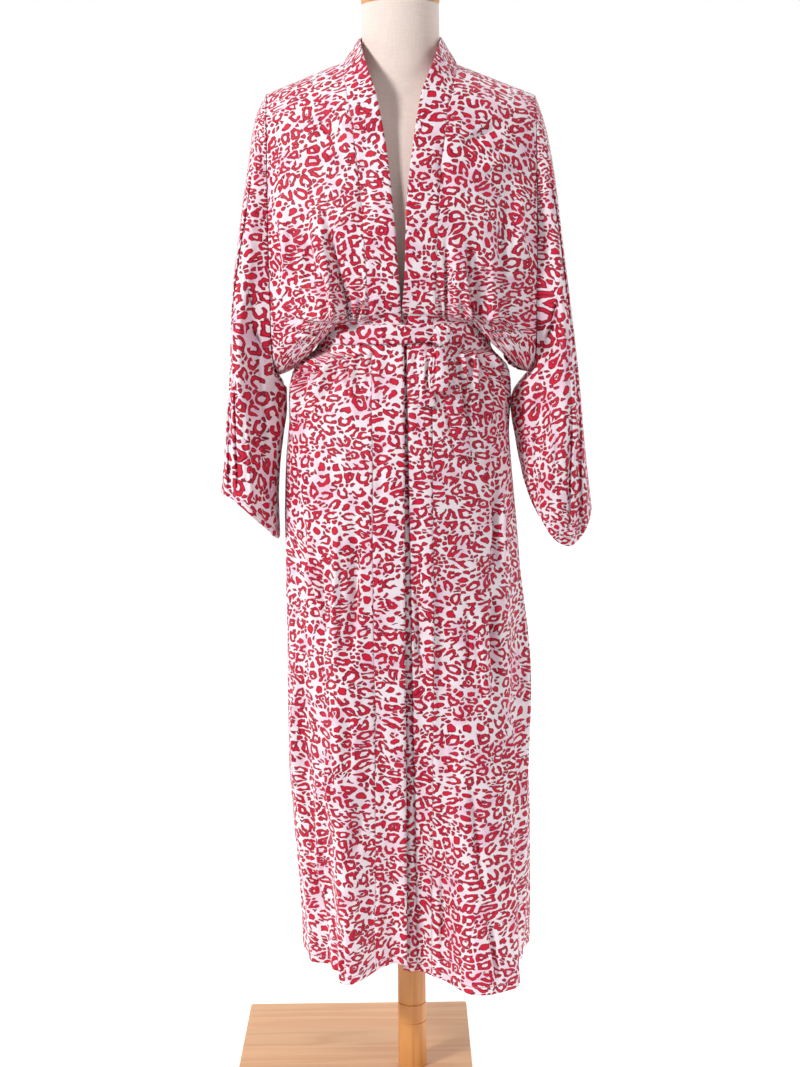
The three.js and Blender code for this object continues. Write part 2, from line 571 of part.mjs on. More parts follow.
// Knot, loop and tails of the belt. The knot sits on the belt and the rest hangs from it in front
// of the skirt. x and z are the middle of the strip, off is its distance from the skirt.
const KNOT = { x: 49, z: 1144, wide: 26, high: 30, deep: 13, bevel: 2, seat: 3 };
const STRIP = 24;
const STRIP_STEPS = 3;
const TAILS = {
  belt_tail_long: [
    { x: 57, z: 1128.7, off: 7, width: 14 }, { x: 60, z: 1100, off: 5, width: 20 },
    { x: 66, z: 1060, off: 5, width: STRIP }, { x: 73, z: 1020, off: 4, width: STRIP },
    { x: 80, z: 978, off: 4, width: STRIP },
  ],
  belt_tail_short: [
    { x: 40, z: 1129, off: 7, width: 11 }, { x: 33, z: 1104, off: 4, width: 17 },
    { x: 29, z: 1076, off: 4, width: 21 }, { x: 30, z: 1048, off: 4, width: STRIP },
  ],
};
const LOOP = [
  { x: 46, z: 1128.7, off: 9.5, width: 12 }, { x: 43, z: 1104, off: 10, width: 20 },
  { x: 44, z: 1084, off: 13, width: STRIP }, { x: 46, z: 1070, off: 17, width: STRIP },
  { x: 48, z: 1084, off: 21, width: STRIP }, { x: 49, z: 1104, off: 18, width: 20 },
  { x: 48, z: 1128.7, off: 14, width: 13 },
];

// Section at a height, found by halving.
function sectionAt(z) {
  let above = 0;
  let below = LAST;
  for (let k = 0; k < 24; k += 1) {
    const t = (above + below) / 2;
    if (section('inner', t) > z) above = t;
    else below = t;
  }
  return above;
}

// y of the skirt's front at a place and a height.
const skirtFront = (x, z) => frontPoint(sectionAt(z), x < 0 ? -1 : 1, Math.abs(x)).y;

function strip(rows) {
  const keys = rows.map((_, index) => index);
  const grid = steps(0, rows.length - 1, (rows.length - 1) * STRIP_STEPS).map((k) => {
    const x = read(rows, keys, 'x', k);
    const z = read(rows, keys, 'z', k);
    const off = read(rows, keys, 'off', k);
    const half = read(rows, keys, 'width', k) / 2;
    return steps(-1, 1, 2).map((part) => {
      const across = x + part * half;
      return new THREE.Vector3(across, skirtFront(across, z) - off, z);
    });
  });
  return wall(grid);
}

function knot() {
  const outline = new THREE.Shape();
  outline.absellipse(0, 0, KNOT.wide / 2 - KNOT.bevel, KNOT.high / 2 - KNOT.bevel, 0, Math.PI * 2);
  const geometry = new THREE.ExtrudeGeometry(outline, {
    depth: KNOT.deep - 2 * KNOT.bevel,
    bevelThickness: KNOT.bevel,
    bevelSize: KNOT.bevel,
    bevelSegments: 2,
    curveSegments: 10,
  });
  geometry.rotateX(Math.PI / 2);
  const row = BELT_ROWS[1];
  const degreesAt = (x) => THREE.MathUtils.radToDeg(Math.asin(x / section('left', row)));
  const onBelt = (x) => waistPoint(row, degreesAt(x), BELT_OUT);
  const near = onBelt(KNOT.x - KNOT.wide / 3);
  const far = onBelt(KNOT.x + KNOT.wide / 3);
  const facing = Math.atan2(far.y - near.y, far.x - near.x);
  geometry.translate(0, -(WALL / 2 + SEAM + KNOT.seat), 0);
  geometry.rotateZ(facing);
  const middle = near.add(far).multiplyScalar(0.5);
  return geometry.translate(middle.x, middle.y, KNOT.z);
}

const FORM_STEPS = 28;
const ROUND_STEPS = 32;

// Squarish oval ring of the dress form at a height.
function formRing(z) {
  const square = form('square', z);
  return steps(0, 360, FORM_STEPS).slice(0, -1).map((degrees) => {
    const c = Math.cos(rad(degrees));
    const s = Math.sin(rad(degrees));
    const bend = (v) => Math.sign(v) * Math.abs(v) ** square;
    const deep = Math.abs(form(s < 0 ? 'front' : 'back', z));
    return new THREE.Vector3(form('wide', z) * bend(c), deep * bend(s), z);
  });
}

function formTorso() {
  const heights = FORM.flatMap((row, i) => (i === 0 ? [row.z] : [lerp(FORM[i - 1].z, row.z, 0.5), row.z]));
  return loft(heights.map(formRing));
}

function turned(profile) {
  const geometry = new THREE.LatheGeometry(profile.map(([r, z]) => new THREE.Vector2(r, z)), ROUND_STEPS);
  return geometry.rotateX(Math.PI / 2);
}

function neckCap() {
  const r = NECK_RADIUS;
  const low = FORM_TOP + SEAM;
  const profile = [[0, low], [r, low], [r + 1, low + 3], [r + 1, low + 10], [r - 3, low + 15],
    [r * 0.7, low + 19.5], [r * 0.35, low + 23], [0, low + CAP_HEIGHT]];
  return turned(profile);
}

function pole() {
  const low = BOARD_THICK + SEAM;
  const high = FORM_LOW - SEAM;
  const profile = [[0, low], [POLE_RADIUS, low]];
  for (const z of GROOVE_HEIGHTS) {
    profile.push([POLE_RADIUS, z - GROOVE_DEPTH], [POLE_RADIUS - GROOVE_DEPTH, z]);
    profile.push([POLE_RADIUS, z + GROOVE_DEPTH]);
  }
  profile.push([POLE_RADIUS, high], [0, high]);
  return turned(profile);
}

function board() {
  const [x0, x1] = BOARD_X;
  const [y0, y1] = BOARD_Y;
  const r = BOARD_CORNER;
  const outline = new THREE.Shape();
  outline.moveTo(x0 + r, y0);
  outline.lineTo(x1 - r, y0);
  outline.absarc(x1 - r, y0 + r, r, -Math.PI / 2, 0);
  outline.lineTo(x1, y1 - r);
  outline.absarc(x1 - r, y1 - r, r, 0, Math.PI / 2);
  outline.lineTo(x0 + r, y1);
  outline.absarc(x0 + r, y1 - r, r, Math.PI / 2, Math.PI);
  outline.lineTo(x0, y0 + r);
  outline.absarc(x0 + r, y0 + r, r, Math.PI, 1.5 * Math.PI);
  return new THREE.ExtrudeGeometry(outline, { depth: BOARD_THICK, bevelEnabled: false, curveSegments: 4 });
}

const robe = new THREE.Group();

function add(name, geometry, finish) {
  const mesh = new THREE.Mesh(geometry, new THREE.MeshStandardMaterial(finish));
  mesh.name = name;
  robe.add(mesh);
}

add('back', backPanel(), PRINTED_CLOTH);
add('front_right', frontPanel(-1), PRINTED_CLOTH);
add('front_left', frontPanel(1), PRINTED_CLOTH);
add('collar_right', collarFront(-1), PRINTED_CLOTH);
add('collar_left', collarFront(1), PRINTED_CLOTH);
add('collar_neck', collarNeck(), PRINTED_CLOTH);
add('sleeve_right', sleeveTube(-1), PRINTED_CLOTH);
add('sleeve_left', sleeveTube(1), PRINTED_CLOTH);
add('belt', beltRing(), PRINTED_CLOTH);
add('belt_knot', knot(), PRINTED_CLOTH);
add('belt_loop', strip(LOOP), PRINTED_CLOTH);
for (const [name, rows] of Object.entries(TAILS)) add(name, strip(rows), PRINTED_CLOTH);
add('form_torso', formTorso(), LINEN);
add('form_neck_cap', neckCap(), TURNED_PINE);
add('stand_pole', pole(), TURNED_PINE);
add('stand_base', board(), BOARD_PINE);

export default robe;
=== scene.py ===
"""Looks of the kimono robe on its dress form: printed cloth panels, collar band, sleeves and belt,
linen form, pine pole and board. Sizes in the tables are millimetres, objects are in metres."""

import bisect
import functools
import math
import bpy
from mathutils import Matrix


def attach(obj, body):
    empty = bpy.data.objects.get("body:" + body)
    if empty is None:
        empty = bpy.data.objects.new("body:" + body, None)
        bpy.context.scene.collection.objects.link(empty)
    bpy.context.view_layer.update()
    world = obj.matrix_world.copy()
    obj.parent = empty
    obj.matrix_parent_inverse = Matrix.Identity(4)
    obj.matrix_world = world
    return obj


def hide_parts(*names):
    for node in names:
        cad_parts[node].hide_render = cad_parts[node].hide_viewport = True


bl_info = {
    "name": "Kimono robe on a dress form",
    "version": (1, 0, 0),
    "blender": (4, 5, 0),
    "location": "3D View > Sidebar > Robe",
    "description": "Builds a printed kimono robe with its tie belt on a dress form",
    "category": "Object",
}

import bmesh
import bpy
from mathutils import Matrix, Vector

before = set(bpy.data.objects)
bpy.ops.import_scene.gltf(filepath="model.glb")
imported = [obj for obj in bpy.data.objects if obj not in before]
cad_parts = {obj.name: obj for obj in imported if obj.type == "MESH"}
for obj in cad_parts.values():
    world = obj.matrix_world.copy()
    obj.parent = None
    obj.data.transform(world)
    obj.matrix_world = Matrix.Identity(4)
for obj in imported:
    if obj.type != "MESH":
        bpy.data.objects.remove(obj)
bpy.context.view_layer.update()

MM = 0.001
STEP = 4.4          # spacing of the cloth's vertices, along and across

# --- shape of the robe ---

WALL = 1.6                            # thickness of the solids' walls
SEAM = 0.3                            # gap between pieces along a seam
ARMHOLE_GAP = 1.1                     # gap between body and sleeve on the shoulder
UNDERARM_GAP = 2.0                    # and at the underarm
NECK_HALF = 78.0                      # half width of the back's neckline
LEFT_LOWER = 6.0                      # how much lower the left shoulder lies
LEFT_LOWER_FROM = 1240.0              # height from which it does
RIDGE_Y = 8.0                         # depth and height of the shoulder seams
RIDGE_TOP = 1528.0
SHOULDER_ROUND = 62.0                 # height over which the shoulders turn down
BOW = 0.8                             # how full the sections are in front and behind
BELT_TOP = 1161.0
BELT_LOW = 1134.0
BELT_OUT = WALL + 0.7
UNDERARM = 8                          # section that holds the underarm
HEM_REACH = 260.0                     # height over which the hem's rise fades out
# Creases fade out beside the belt's middle height, but not at the sides, where cloth hangs over it.
CALM_AT = 1147.0
CALM_HALF = 17.0
CALM_FADE = 14.0
CALM_SIDE = 116.0
CALM_SIDE_FADE = 16.0
# The roll of cloth over the belt, which ends short of the sides.
ROLL_REACH = 30.0
ROLL_SIDE = 112.0
ROLL_SIDE_FADE = 30.0
ROLL_OUT_HALF = 26.0
ROLL_DOWN_HALF = 18.0
# The left front slips behind the right one: deep close beside its edge, and a little beyond.
TUCK_TOP = 1190.0
TUCK_FADE = 30.0
TUCK_DEEP = 6.5
LIP_FROM = 0.6
LIP_WIDE = 3.6
TUCK_SHALLOW = 1.2
TUCK_WIDE = 26.0
# Spacing of the cloth's rows near the belt and elsewhere, as parts of STEP.
ROWS_CLOSE = 0.72
ROWS_WIDE = 1.03
MERGE = 1e-6                          # vertices closer than this, in metres, are one

# Body from the shoulder seam down to the hem, as in the solids.
SECTION_COLUMNS = ("inner", "outer", "right", "left", "front", "back", "front_side", "back_side", "turn")
SECTIONS = (
    (1528, 1484, 190, 188, -58, 66, 8, 8, 62),
    (1516, 1474, 190, 188, -68, 74, -22, 30, 62),
    (1494, 1452, 190, 188, -80, 84, -34, 38, 62),
    (1452, 1410, 189, 187, -96, 96, -42, 44, 62),
    (1380, 1338, 189, 187, -114, 108, -47, 48, 62),
    (1300, 1260, 189, 187, -124, 112, -50, 50, 62),
    (1232, 1184, 188, 187, -118, 108, -49, 48, 64),
    (1192, 1120, 187, 186, -110, 102, -40, 40, 70),
    (1184, 1088, 183, 181, -107, 100, -6, 6, 80),
    (1178, 1098, 159, 160, -104, 98, 0, 0, 86),
    (1172, 1172, 130, 132, -99, 93, 0, 0, 90),
    (1152, 1152, 122, 124, -97, 91, 0, 0, 90),
    (1132, 1132, 124, 124, -97, 91, 0, 0, 90),
    (1104, 1104, 143, 134, -104, 101, 0, 0, 90),
    (1040, 1040, 164, 146, -117, 119, 0, 0, 90),
    (940, 940, 175, 156, -126, 132, 0, 0, 90),
    (835, 835, 178, 164, -126, 134, 0, 0, 90),
    (690, 690, 178, 172, -116, 130, 0, 0, 90),
    (510, 510, 178, 176, -106, 126, 0, 0, 90),
    (400, 400, 171, 178, -100, 124, 0, 0, 90),
    (300, 300, 161, 176, -94, 121, 0, 0, 90),
    (206, 204, 155, 171, -88, 118, 0, 0, 90),
)
LAST = len(SECTIONS) - 1
HEM_Z = SECTIONS[LAST][0]

# Free edges of both fronts by height, how wide the collar band looks and how far it stands up.
OPENING_COLUMNS = ("z", "right", "left", "band", "rise")
OPENING = (
    (1528, -58, 57, 20, 30),
    (1505, -51, 47, 28, 20),
    (1467, -35, 27, 38, 7),
    (1395, -21, 13, 43, 0),
    (1315, -13, 4, 44, 0),
    (1230, -7, 1, 44, 0),
    (1169, -4, -4, 44, 0),
    (1120, -1, -7, 45, 0),
    (700, -4, -9, 45, 0),
    (200, -7, -14, 45, 0),
)

# Folds of the skirt: place in degrees from the front middle, half widths towards and away from it,
# depth, height where it starts, and how it grows.
FOLDS = (
    (-30, 13, 16, 40, 900, 1.4),
    (-10, 9, 9, -14, 800, 1.2),
    (-62, 15, 15, -16, 980, 1.0),
    (24, 9, 16, 54, 860, 1.5),
    (40, 18, 24, 58, 900, 1.5),
    (6, 12, 9, -26, 860, 1.3),
    (68, 14, 12, -14, 1010, 0.8),
    (-104, 16, 16, 16, 860, 1.1),
    (-130, 14, 14, -22, 1000, 0.9),
    (-152, 13, 13, 20, 940, 1.1),
    (-174, 13, 13, -18, 1020, 0.9),
    (158, 14, 14, 22, 900, 1.2),
    (132, 13, 13, -20, 1000, 0.9),
    (106, 15, 15, 18, 880, 1.1),
)

# Folds down the upper back into the belt: place, half width, depth, top.
GATHERS = (
    (-150, 9, -14, 1340),
    (-172, 8, -10, 1300),
    (165, 8, -12, 1360),
    (143, 8, -12, 1290),
)
GATHER_LOW = 1168.0

HEM_COLUMNS = ("at", "lift")
HEM = (
    (-180, -2), (-95, 0), (-45, 0), (-29, -4), (-15, 11), (-1, 13), (1, -4),
    (13, -7), (22, -13), (34, -12), (60, -5), (90, 0), (180, -2),
)

# How far the cloth above the belt rolls out over it, by degrees from the front middle.
ROLL_COLUMNS = ("at", "out")
ROLL = (
    (-180, 6), (-150, 9), (-120, 6), (-95, 9), (-75, 8), (-60, 11), (-47, 12), (-38, 5), (-30, 6), (-15, 1.5),
    (0, 0), (12, 1), (22, 3), (32, 7), (45, 9), (62, 11), (78, 8), (95, 9), (125, 6), (150, 9), (180, 6),
)
ROLL_AT = 1179.0

SLEEVE_COLUMNS = ("along", "top_x", "top_z", "low_x", "low_z", "front", "back", "hug", "sag")
SLEEVES = {
    "right": (
        (0.00, 191, 1484, 187, 1085, -50, 50, 10, 0),
        (0.12, 208, 1448, 184, 1077, -56, 54, 14, 0),
        (0.25, 218, 1388, 172, 1066, -60, 58, 11, 0),
        (0.40, 232, 1300, 172, 1040, -66, 64, 6, 0),
        (0.55, 243, 1208, 178, 998, -72, 70, 3.5, 0),
        (0.70, 248, 1112, 184, 952, -77, 76, 2.5, -2),
        (0.85, 257, 1018, 187, 902, -80, 82, 1.6, -7),
        (1.00, 268, 922, 187, 850, -80, 86, 1, -14),
    ),
    "left": (
        (0.00, 189, 1484, 186, 1085, -50, 50, 10, 0),
        (0.12, 203, 1442, 183, 1077, -56, 54, 14, 0),
        (0.25, 215, 1376, 161, 1064, -60, 58, 11, 0),
        (0.40, 225, 1290, 154, 1042, -66, 64, 6, 4),
        (0.55, 236, 1200, 156, 1018, -72, 70, 3.5, 14),
        (0.70, 247, 1106, 160, 996, -77, 76, 2.5, 30),
        (0.85, 257, 1002, 164, 972, -80, 82, 1.6, 50),
        (1.00, 270, 894, 170, 948, -80, 86, 1, 74),
    ),
}
# Long soft flutes of a sleeve: degrees from its top fold, half width, depth.
FLUTES = ((62, 20, -9), (100, 18, 6), (132, 14, -10), (-58, 20, -10), (-98, 18, 7), (-134, 14, -9))

# Creases of the chest, by place to the left of the middle and height, both in millimetres, and
# below them those of the back and skirt, by degrees and height. Each runs from a place to a
# place, with its half width, its depth (ridges above 0), how far it bends aside, where along it
# is deepest (0 its start, 1 its end), and its lean: the side above 0, right of its way, is steep
# above 0.
BODICE_CREASES = (
    # right: the long tuck that lies over to the left, and the folds beside it
    (-83, 1162, -116, 1356, 16, 14, -3, 0.15, 0.72), (-76, 1162, -108, 1335, 4.5, -13, -3, 0.12, 0),
    (-70, 1162, -98, 1320, 10, -6, -3, 0.12, 0),
    (-66, 1163, -62, 1216, 3.5, -9, 1, 0.1, 0), (-58, 1163, -52, 1260, 8, 6, 2, 0.1, -0.5),
    (-55, 1165, -47, 1240, 7, -4, 2, 0.1, 0), (-40, 1166, -37, 1215, 8, 4, 1, 0.1, 0.4),
    # right: folds that run to the belt's end out of the underarm
    (-108, 1161, -186, 1184, 8, 8, 3, 0.1, -0.6), (-112, 1156, -172, 1168, 4, -6, 2, 0.1, 0),
    (-116, 1151, -190, 1160, 8, 8, 2, 0.1, -0.6), (-119, 1150, -142, 1138, 7, -8, 1, 0.3, 0),
    (-120, 1142, -186, 1134, 8, 6, 2, 0.2, -0.5), (-100, 1172, -150, 1222, 10, 6, 4, 0.2, -0.4),
    (-97, 1180, -128, 1262, 10, -6, 4, 0.2, 0), (-128, 1190, -150, 1400, 17, -5, 4, 0.3, 0),
    (-160, 1200, -172, 1370, 13, 6, 4, 0.4, 0.3), (-62, 1260, -52, 1430, 16, -4, 3, 0.4, 0),
    (-72, 1400, -160, 1452, 17, -5, 6, 0.5, 0), (-80, 1372, -170, 1400, 15, 4, 5, 0.5, -0.3),
    # left: fold above the knot, wide shaded one beside it
    (57, 1158, 58, 1292, 3.8, -12, 1, 0.2, 0), (67, 1160, 67, 1310, 9, 8, 1, 0.15, -0.6),
    (86, 1160, 83, 1300, 11, 10, -2, 0.15, 0.65), (93, 1158, 90, 1290, 4, -11, -2, 0.15, 0),
    (102, 1156, 99, 1300, 8, -7, -2, 0.15, 0),
    (113, 1158, 122, 1290, 9, 6, 3, 0.15, -0.4), (40, 1166, 40, 1230, 7, 4, 1, 0.1, -0.4),
    (48, 1165, 47, 1250, 6, -4, 1, 0.1, 0), (113, 1152, 134, 1212, 8, 8, -2, 0.1, -0.5),
    # left: folds out of the underarm
    (118, 1152, 156, 1184, 7, 8, -3, 0.1, 0.5), (118, 1150, 186, 1168, 8, 8, -2, 0.1, 0.5),
    (120, 1146, 170, 1155, 4, -6, -2, 0.1, 0), (124, 1141, 148, 1128, 7, -8, -1, 0.3, 0),
    (122, 1142, 186, 1138, 8, 6, -2, 0.2, 0.5), (136, 1195, 152, 1400, 17, -5, -4, 0.3, 0),
    (160, 1220, 168, 1390, 13, 6, -4, 0.4, -0.3), (62, 1320, 52, 1440, 16, -4, -3, 0.4, 0),
    (74, 1392, 158, 1440, 17, -5, -6, 0.5, 0), (82, 1360, 168, 1388, 15, 4, -5, 0.5, 0.3),
)
CREASES = (
    # under the belt, right
    (-47, 1128, -52, 1020, 11, 11, -4, 0.3, 0.65), (-50.5, 1127, -55, 1030, 4.5, -13, -4, 0.35, 0),
    (-39, 1127, -42, 1060, 4, -9, 2, 0.2, 0),
    (-56, 1128, -61, 1040, 8, 7, 3, 0.2, 0.4), (-36, 1127, -27, 1050, 7, -5, 2, 0.1, 0),
    (-31, 1127, -24, 1010, 9, 6, 3, 0.15, 0.6), (-21, 1127, -18, 1060, 6, -5, 3, 0.1, 0),
    (-15, 1127, -15, 1020, 8, 4, 3, 0.15, 0.5), (-9, 1127, -7, 1080, 5, -3, 2, 0.1, 0),
    (-66, 1127, -71, 985, 12, 13, 6, 0.25, 0.6), (-72, 1127, -78, 990, 6, -15, 6, 0.3, 0),
    (-80, 1127, -87, 1010, 11, 10, 6, 0.25, 0.5), (-86, 1126, -93, 1020, 6, -11, 6, 0.25, 0),
    # under the belt, left
    (7, 1127, 5, 1062, 6, -4, 2, 0.1, 0), (13, 1127, 11, 1040, 8, 5, 3, 0.15, -0.5),
    (20, 1127, 17, 1050, 6, -5, 3, 0.1, 0), (38, 1127, 35, 1045, 8, 7, -2, 0.1, -0.6),
    (35, 1090, 37, 1000, 6, -6, 1, 0.3, 0), (47, 1127, 43, 1010, 9, 8, 3, 0.1, -0.5),
    (51, 1126, 46, 1030, 4, -10, 3, 0.2, 0), (54, 1127, 50, 1040, 7, -6, 3, 0.1, 0),
    (63, 1127, 72, 1045, 9, 9, -3, 0.2, -0.6), (67, 1126, 76, 1050, 4, -11, -3, 0.25, 0),
    (60, 1110, 66, 1000, 9, -7, 4, 0.2, 0), (77, 1126, 82, 1000, 6, -14, -5, 0.3, 0),
    (84, 1126, 90, 990, 11, 10, -5, 0.25, -0.5), (71, 1126, 74, 1020, 9, 8, -4, 0.25, -0.5),
    # right side of the skirt's front
    (-58, 910, -42, 700, 10, -5, 3, 0.4, 0), (-54, 880, -40, 720, 9, 5, 3, 0.4, 0.5),
    (-24, 950, -29, 630, 15, -9, -4, 0.55, 0), (-33, 930, -35, 640, 14, 7, -4, 0.5, -0.5),
    (-28, 650, -27, 470, 15, -8, 3, 0.5, 0), (-16, 700, -11, 470, 12, -5, 3, 0.5, 0),
    (-41, 560, -34, 420, 10, 6, 3, 0.4, 0.5), (-21, 500, -27, 360, 13, -8, 2, 0.5, 0),
    (-75, 400, -50, 250, 12, -7, 5, 0.5, 0), (-33, 310, -32, 205, 10, -8, 1, 0.8, 0),
    (-43, 830, -40, 690, 6, -3, 2, 0.5, 0), (-10, 1060, -12, 880, 16, -4, 4, 0.5, 0),
    (-64, 760, -70, 360, 18, 8, 8, 0.5, 0.4), (-84, 900, -82, 500, 20, -8, 8, 0.5, 0),
    (-49, 520, -54, 260, 12, 6, 5, 0.6, 0.4), (-17, 360, -18, 215, 9, 5, 2, 0.7, 0.4),
    # left side of the skirt's front
    (54, 960, 51, 790, 12, -10, 3, 0.5, 0), (59, 950, 57, 780, 10, 6, 3, 0.5, -0.4),
    (57, 940, 42, 790, 9, -6, -4, 0.5, 0), (46, 800, 45, 620, 16, -11, 4, 0.5, 0),
    (36, 780, 37, 560, 12, 7, 4, 0.5, 0.5), (30, 790, 29, 630, 8, -4, 2, 0.5, 0),
    (27, 560, 29, 330, 9, -6, 2, 0.6, 0), (31, 350, 34, 215, 8, -10, 2, 0.7, 0),
    (5, 1000, 6, 640, 13, -7, 3, 0.8, 0), (14, 900, 13, 500, 10, 4, 4, 0.5, -0.5),
    (62, 640, 66, 330, 18, -9, 6, 0.5, 0), (78, 860, 80, 420, 20, 7, -8, 0.5, 0),
    (50, 420, 56, 230, 14, -8, 4, 0.6, 0), (17, 420, 16, 220, 12, -6, 2, 0.6, 0),
    (53, 620, 52, 420, 11, 6, 4, 0.5, -0.5), (22, 640, 20, 430, 10, -4, 3, 0.5, 0),
    # back, from the belt up
    (-172, 1169, -170, 1330, 11, -8, 6, 0.15, 0), (-158, 1169, -152, 1290, 9, 7, 4, 0.15, 0.5),
    (-145, 1169, -138, 1380, 12, -8, 8, 0.15, 0), (-132, 1169, -125, 1270, 9, 7, 3, 0.1, 0.5),
    (178, 1169, 176, 1260, 8, -5, 3, 0.1, 0), (164, 1169, 161, 1370, 12, -8, -8, 0.15, 0),
    (152, 1169, 146, 1280, 9, 7, 4, 0.15, -0.5), (140, 1169, 132, 1350, 11, -8, -6, 0.15, 0),
    (-150, 1360, -132, 1470, 22, -5, 10, 0.5, 0), (150, 1350, 134, 1465, 22, -5, -10, 0.5, 0),
    (-118, 1168, -104, 1215, 10, 7, 5, 0.2, 0.5), (118, 1168, 104, 1215, 10, 7, -5, 0.2, -0.5),
    # back, from the belt down
    (-176, 1127, -178, 1030, 8, -7, 3, 0.1, 0), (-164, 1127, -160, 940, 11, 9, 6, 0.2, 0.5),
    (-150, 1127, -146, 1020, 8, -7, 4, 0.1, 0), (-138, 1127, -132, 960, 10, 8, 6, 0.2, 0.5),
    (-120, 1127, -114, 980, 10, -7, 5, 0.2, 0), (-104, 1127, -100, 1030, 9, 6, 4, 0.1, 0.4),
    (170, 1127, 166, 960, 10, 8, 6, 0.2, -0.5), (157, 1127, 155, 1040, 8, -6, 2, 0.1, 0),
    (146, 1127, 140, 930, 11, 8, -6, 0.2, -0.5), (128, 1127, 124, 1010, 9, -7, 4, 0.1, 0),
    (112, 1127, 106, 970, 10, 7, 4, 0.2, -0.4), (98, 1127, 96, 1030, 8, -6, 3, 0.1, 0),
    # back of the skirt
    (-165, 820, -168, 420, 20, -9, 8, 0.5, 0), (-142, 760, -138, 330, 18, 8, -8, 0.5, 0.4),
    (-118, 800, -114, 380, 20, -9, 8, 0.5, 0), (168, 780, 172, 360, 18, -8, -8, 0.5, 0),
    (145, 820, 140, 420, 20, 8, 8, 0.5, -0.4), (118, 760, 114, 330, 20, -9, -8, 0.5, 0),
    (-156, 420, -150, 215, 14, -7, 4, 0.7, 0), (152, 400, 156, 215, 14, -7, -4, 0.7, 0),
    (-98, 520, -94, 230, 16, -7, 5, 0.6, 0), (96, 560, 92, 240, 16, -7, 5, 0.6, 0),
)
MM_PER_DEGREE = 2.9              # round the body, for the length of a crease

# Creases of a sleeve: degrees round and part of the way along, from and to.
SLEEVE_CREASES = {
    "right": (
        (150, 0.08, 96, 0.42, 13, -7, 6, 0.3, 0), (168, 0.16, 128, 0.55, 11, -6, 8, 0.3, 0),
        (60, 0.05, 52, 0.62, 12, -6, 6, 0.5, 0), (32, 0.30, 36, 0.92, 12, -5, 6, 0.5, 0),
        (112, 0.45, 104, 0.98, 14, 6, 6, 0.7, 0.4), (84, 0.50, 78, 1.00, 12, -6, 5, 0.8, 0),
        (140, 0.58, 146, 1.00, 10, -7, 4, 0.7, 0), (160, 0.50, 164, 0.96, 8, 4, 3, 0.6, 0.4),
        (120, 0.20, 88, 0.30, 9, -4, 4, 0.4, 0), (46, 0.68, 50, 1.00, 9, 4, 3, 0.8, 0.4),
        (-150, 0.08, -96, 0.42, 13, -7, -6, 0.3, 0), (-60, 0.05, -54, 0.62, 12, -6, -6, 0.5, 0),
        (-112, 0.45, -102, 0.98, 14, 6, -6, 0.7, 0.4), (-84, 0.50, -80, 1.00, 12, -7, -5, 0.8, 0),
        (-140, 0.55, -146, 1.00, 10, -7, -4, 0.7, 0), (-34, 0.35, -38, 0.95, 12, -5, -6, 0.5, 0),
    ),
    "left": (
        (150, 0.08, 92, 0.40, 13, -7, 6, 0.3, 0), (168, 0.18, 124, 0.50, 11, -7, 8, 0.3, 0),
        (66, 0.05, 56, 0.60, 12, -7, -6, 0.5, 0), (36, 0.28, 40, 0.90, 12, -5, 6, 0.5, 0),
        (116, 0.42, 108, 0.98, 14, 6, 6, 0.7, 0.4), (88, 0.50, 80, 1.00, 12, -6, 5, 0.8, 0),
        (142, 0.52, 150, 1.00, 10, -8, 4, 0.6, 0), (162, 0.40, 168, 0.90, 8, 4, 3, 0.6, 0.4),
        (128, 0.18, 96, 0.30, 9, -5, 4, 0.4, 0), (50, 0.66, 54, 1.00, 9, 4, 3, 0.8, 0.4),
        (-150, 0.08, -98, 0.44, 13, -7, -6, 0.3, 0), (-62, 0.05, -56, 0.60, 12, -6, -6, 0.5, 0),
        (-114, 0.45, -104, 0.98, 14, 6, -6, 0.7, 0.4), (-86, 0.52, -82, 1.00, 12, -7, -5, 0.8, 0),
        (-142, 0.55, -148, 1.00, 10, -7, -4, 0.7, 0), (-36, 0.33, -40, 0.95, 12, -5, -6, 0.5, 0),
    ),
}
SLEEVE_MM_PER_DEGREE = 2.0
SLEEVE_LENGTH = 600.0

KNOT = {"x": 49.0, "z": 1144.0, "wide": 27.0, "high": 31.0, "deep": 14.0, "off": 10.5}
KNOT_TURNS = ((-0.82, 0.2, 0.20), (-0.34, 0.17, 0.26), (0.12, 0.16, 0.20), (0.6, 0.2, 0.28))
STRIP_COLUMNS = ("x", "z", "off", "width")
LOOP = (
    (46, 1128.7, 9.5, 12), (43, 1104, 10, 20), (44, 1084, 13, 24), (46, 1070, 17, 24),
    (48, 1084, 21, 24), (49, 1104, 18, 20), (48, 1128.7, 14, 13),
)
TAIL_LONG = ((57, 1128.7, 7, 14), (60, 1100, 5, 20), (66, 1060, 5, 24), (73, 1020, 4, 24), (80, 978, 4, 24))
TAIL_SHORT = ((40, 1129, 7, 11), (33, 1104, 4, 17), (29, 1076, 4, 21), (30, 1048, 4, 24))

NECK_TOP = 1603.0
FORM_LOW = 830.0
FORM_COLUMNS = ("z", "wide", "front", "back", "square")
FORM = (
    (830, 134, 84, 92, 0.86), (846, 143, 92, 100, 0.86), (900, 149, 98, 108, 0.86),
    (960, 147, 100, 108, 0.86), (1050, 129, 92, 94, 0.88), (1140, 112, 82, 78, 0.9),
    (1210, 126, 98, 88, 0.88), (1290, 148, 110, 98, 0.88), (1360, 160, 102, 98, 0.88),
    (1420, 170, 84, 84, 0.9), (1450, 164, 68, 70, 0.92), (1478, 124, 54, 60, 0.95),
    (1500, 82, 50, 57, 1), (1516, 63, 50, 55, 1), (1545, 54.5, 52, 54, 1), (1603, 54, 54, 54, 1),
)
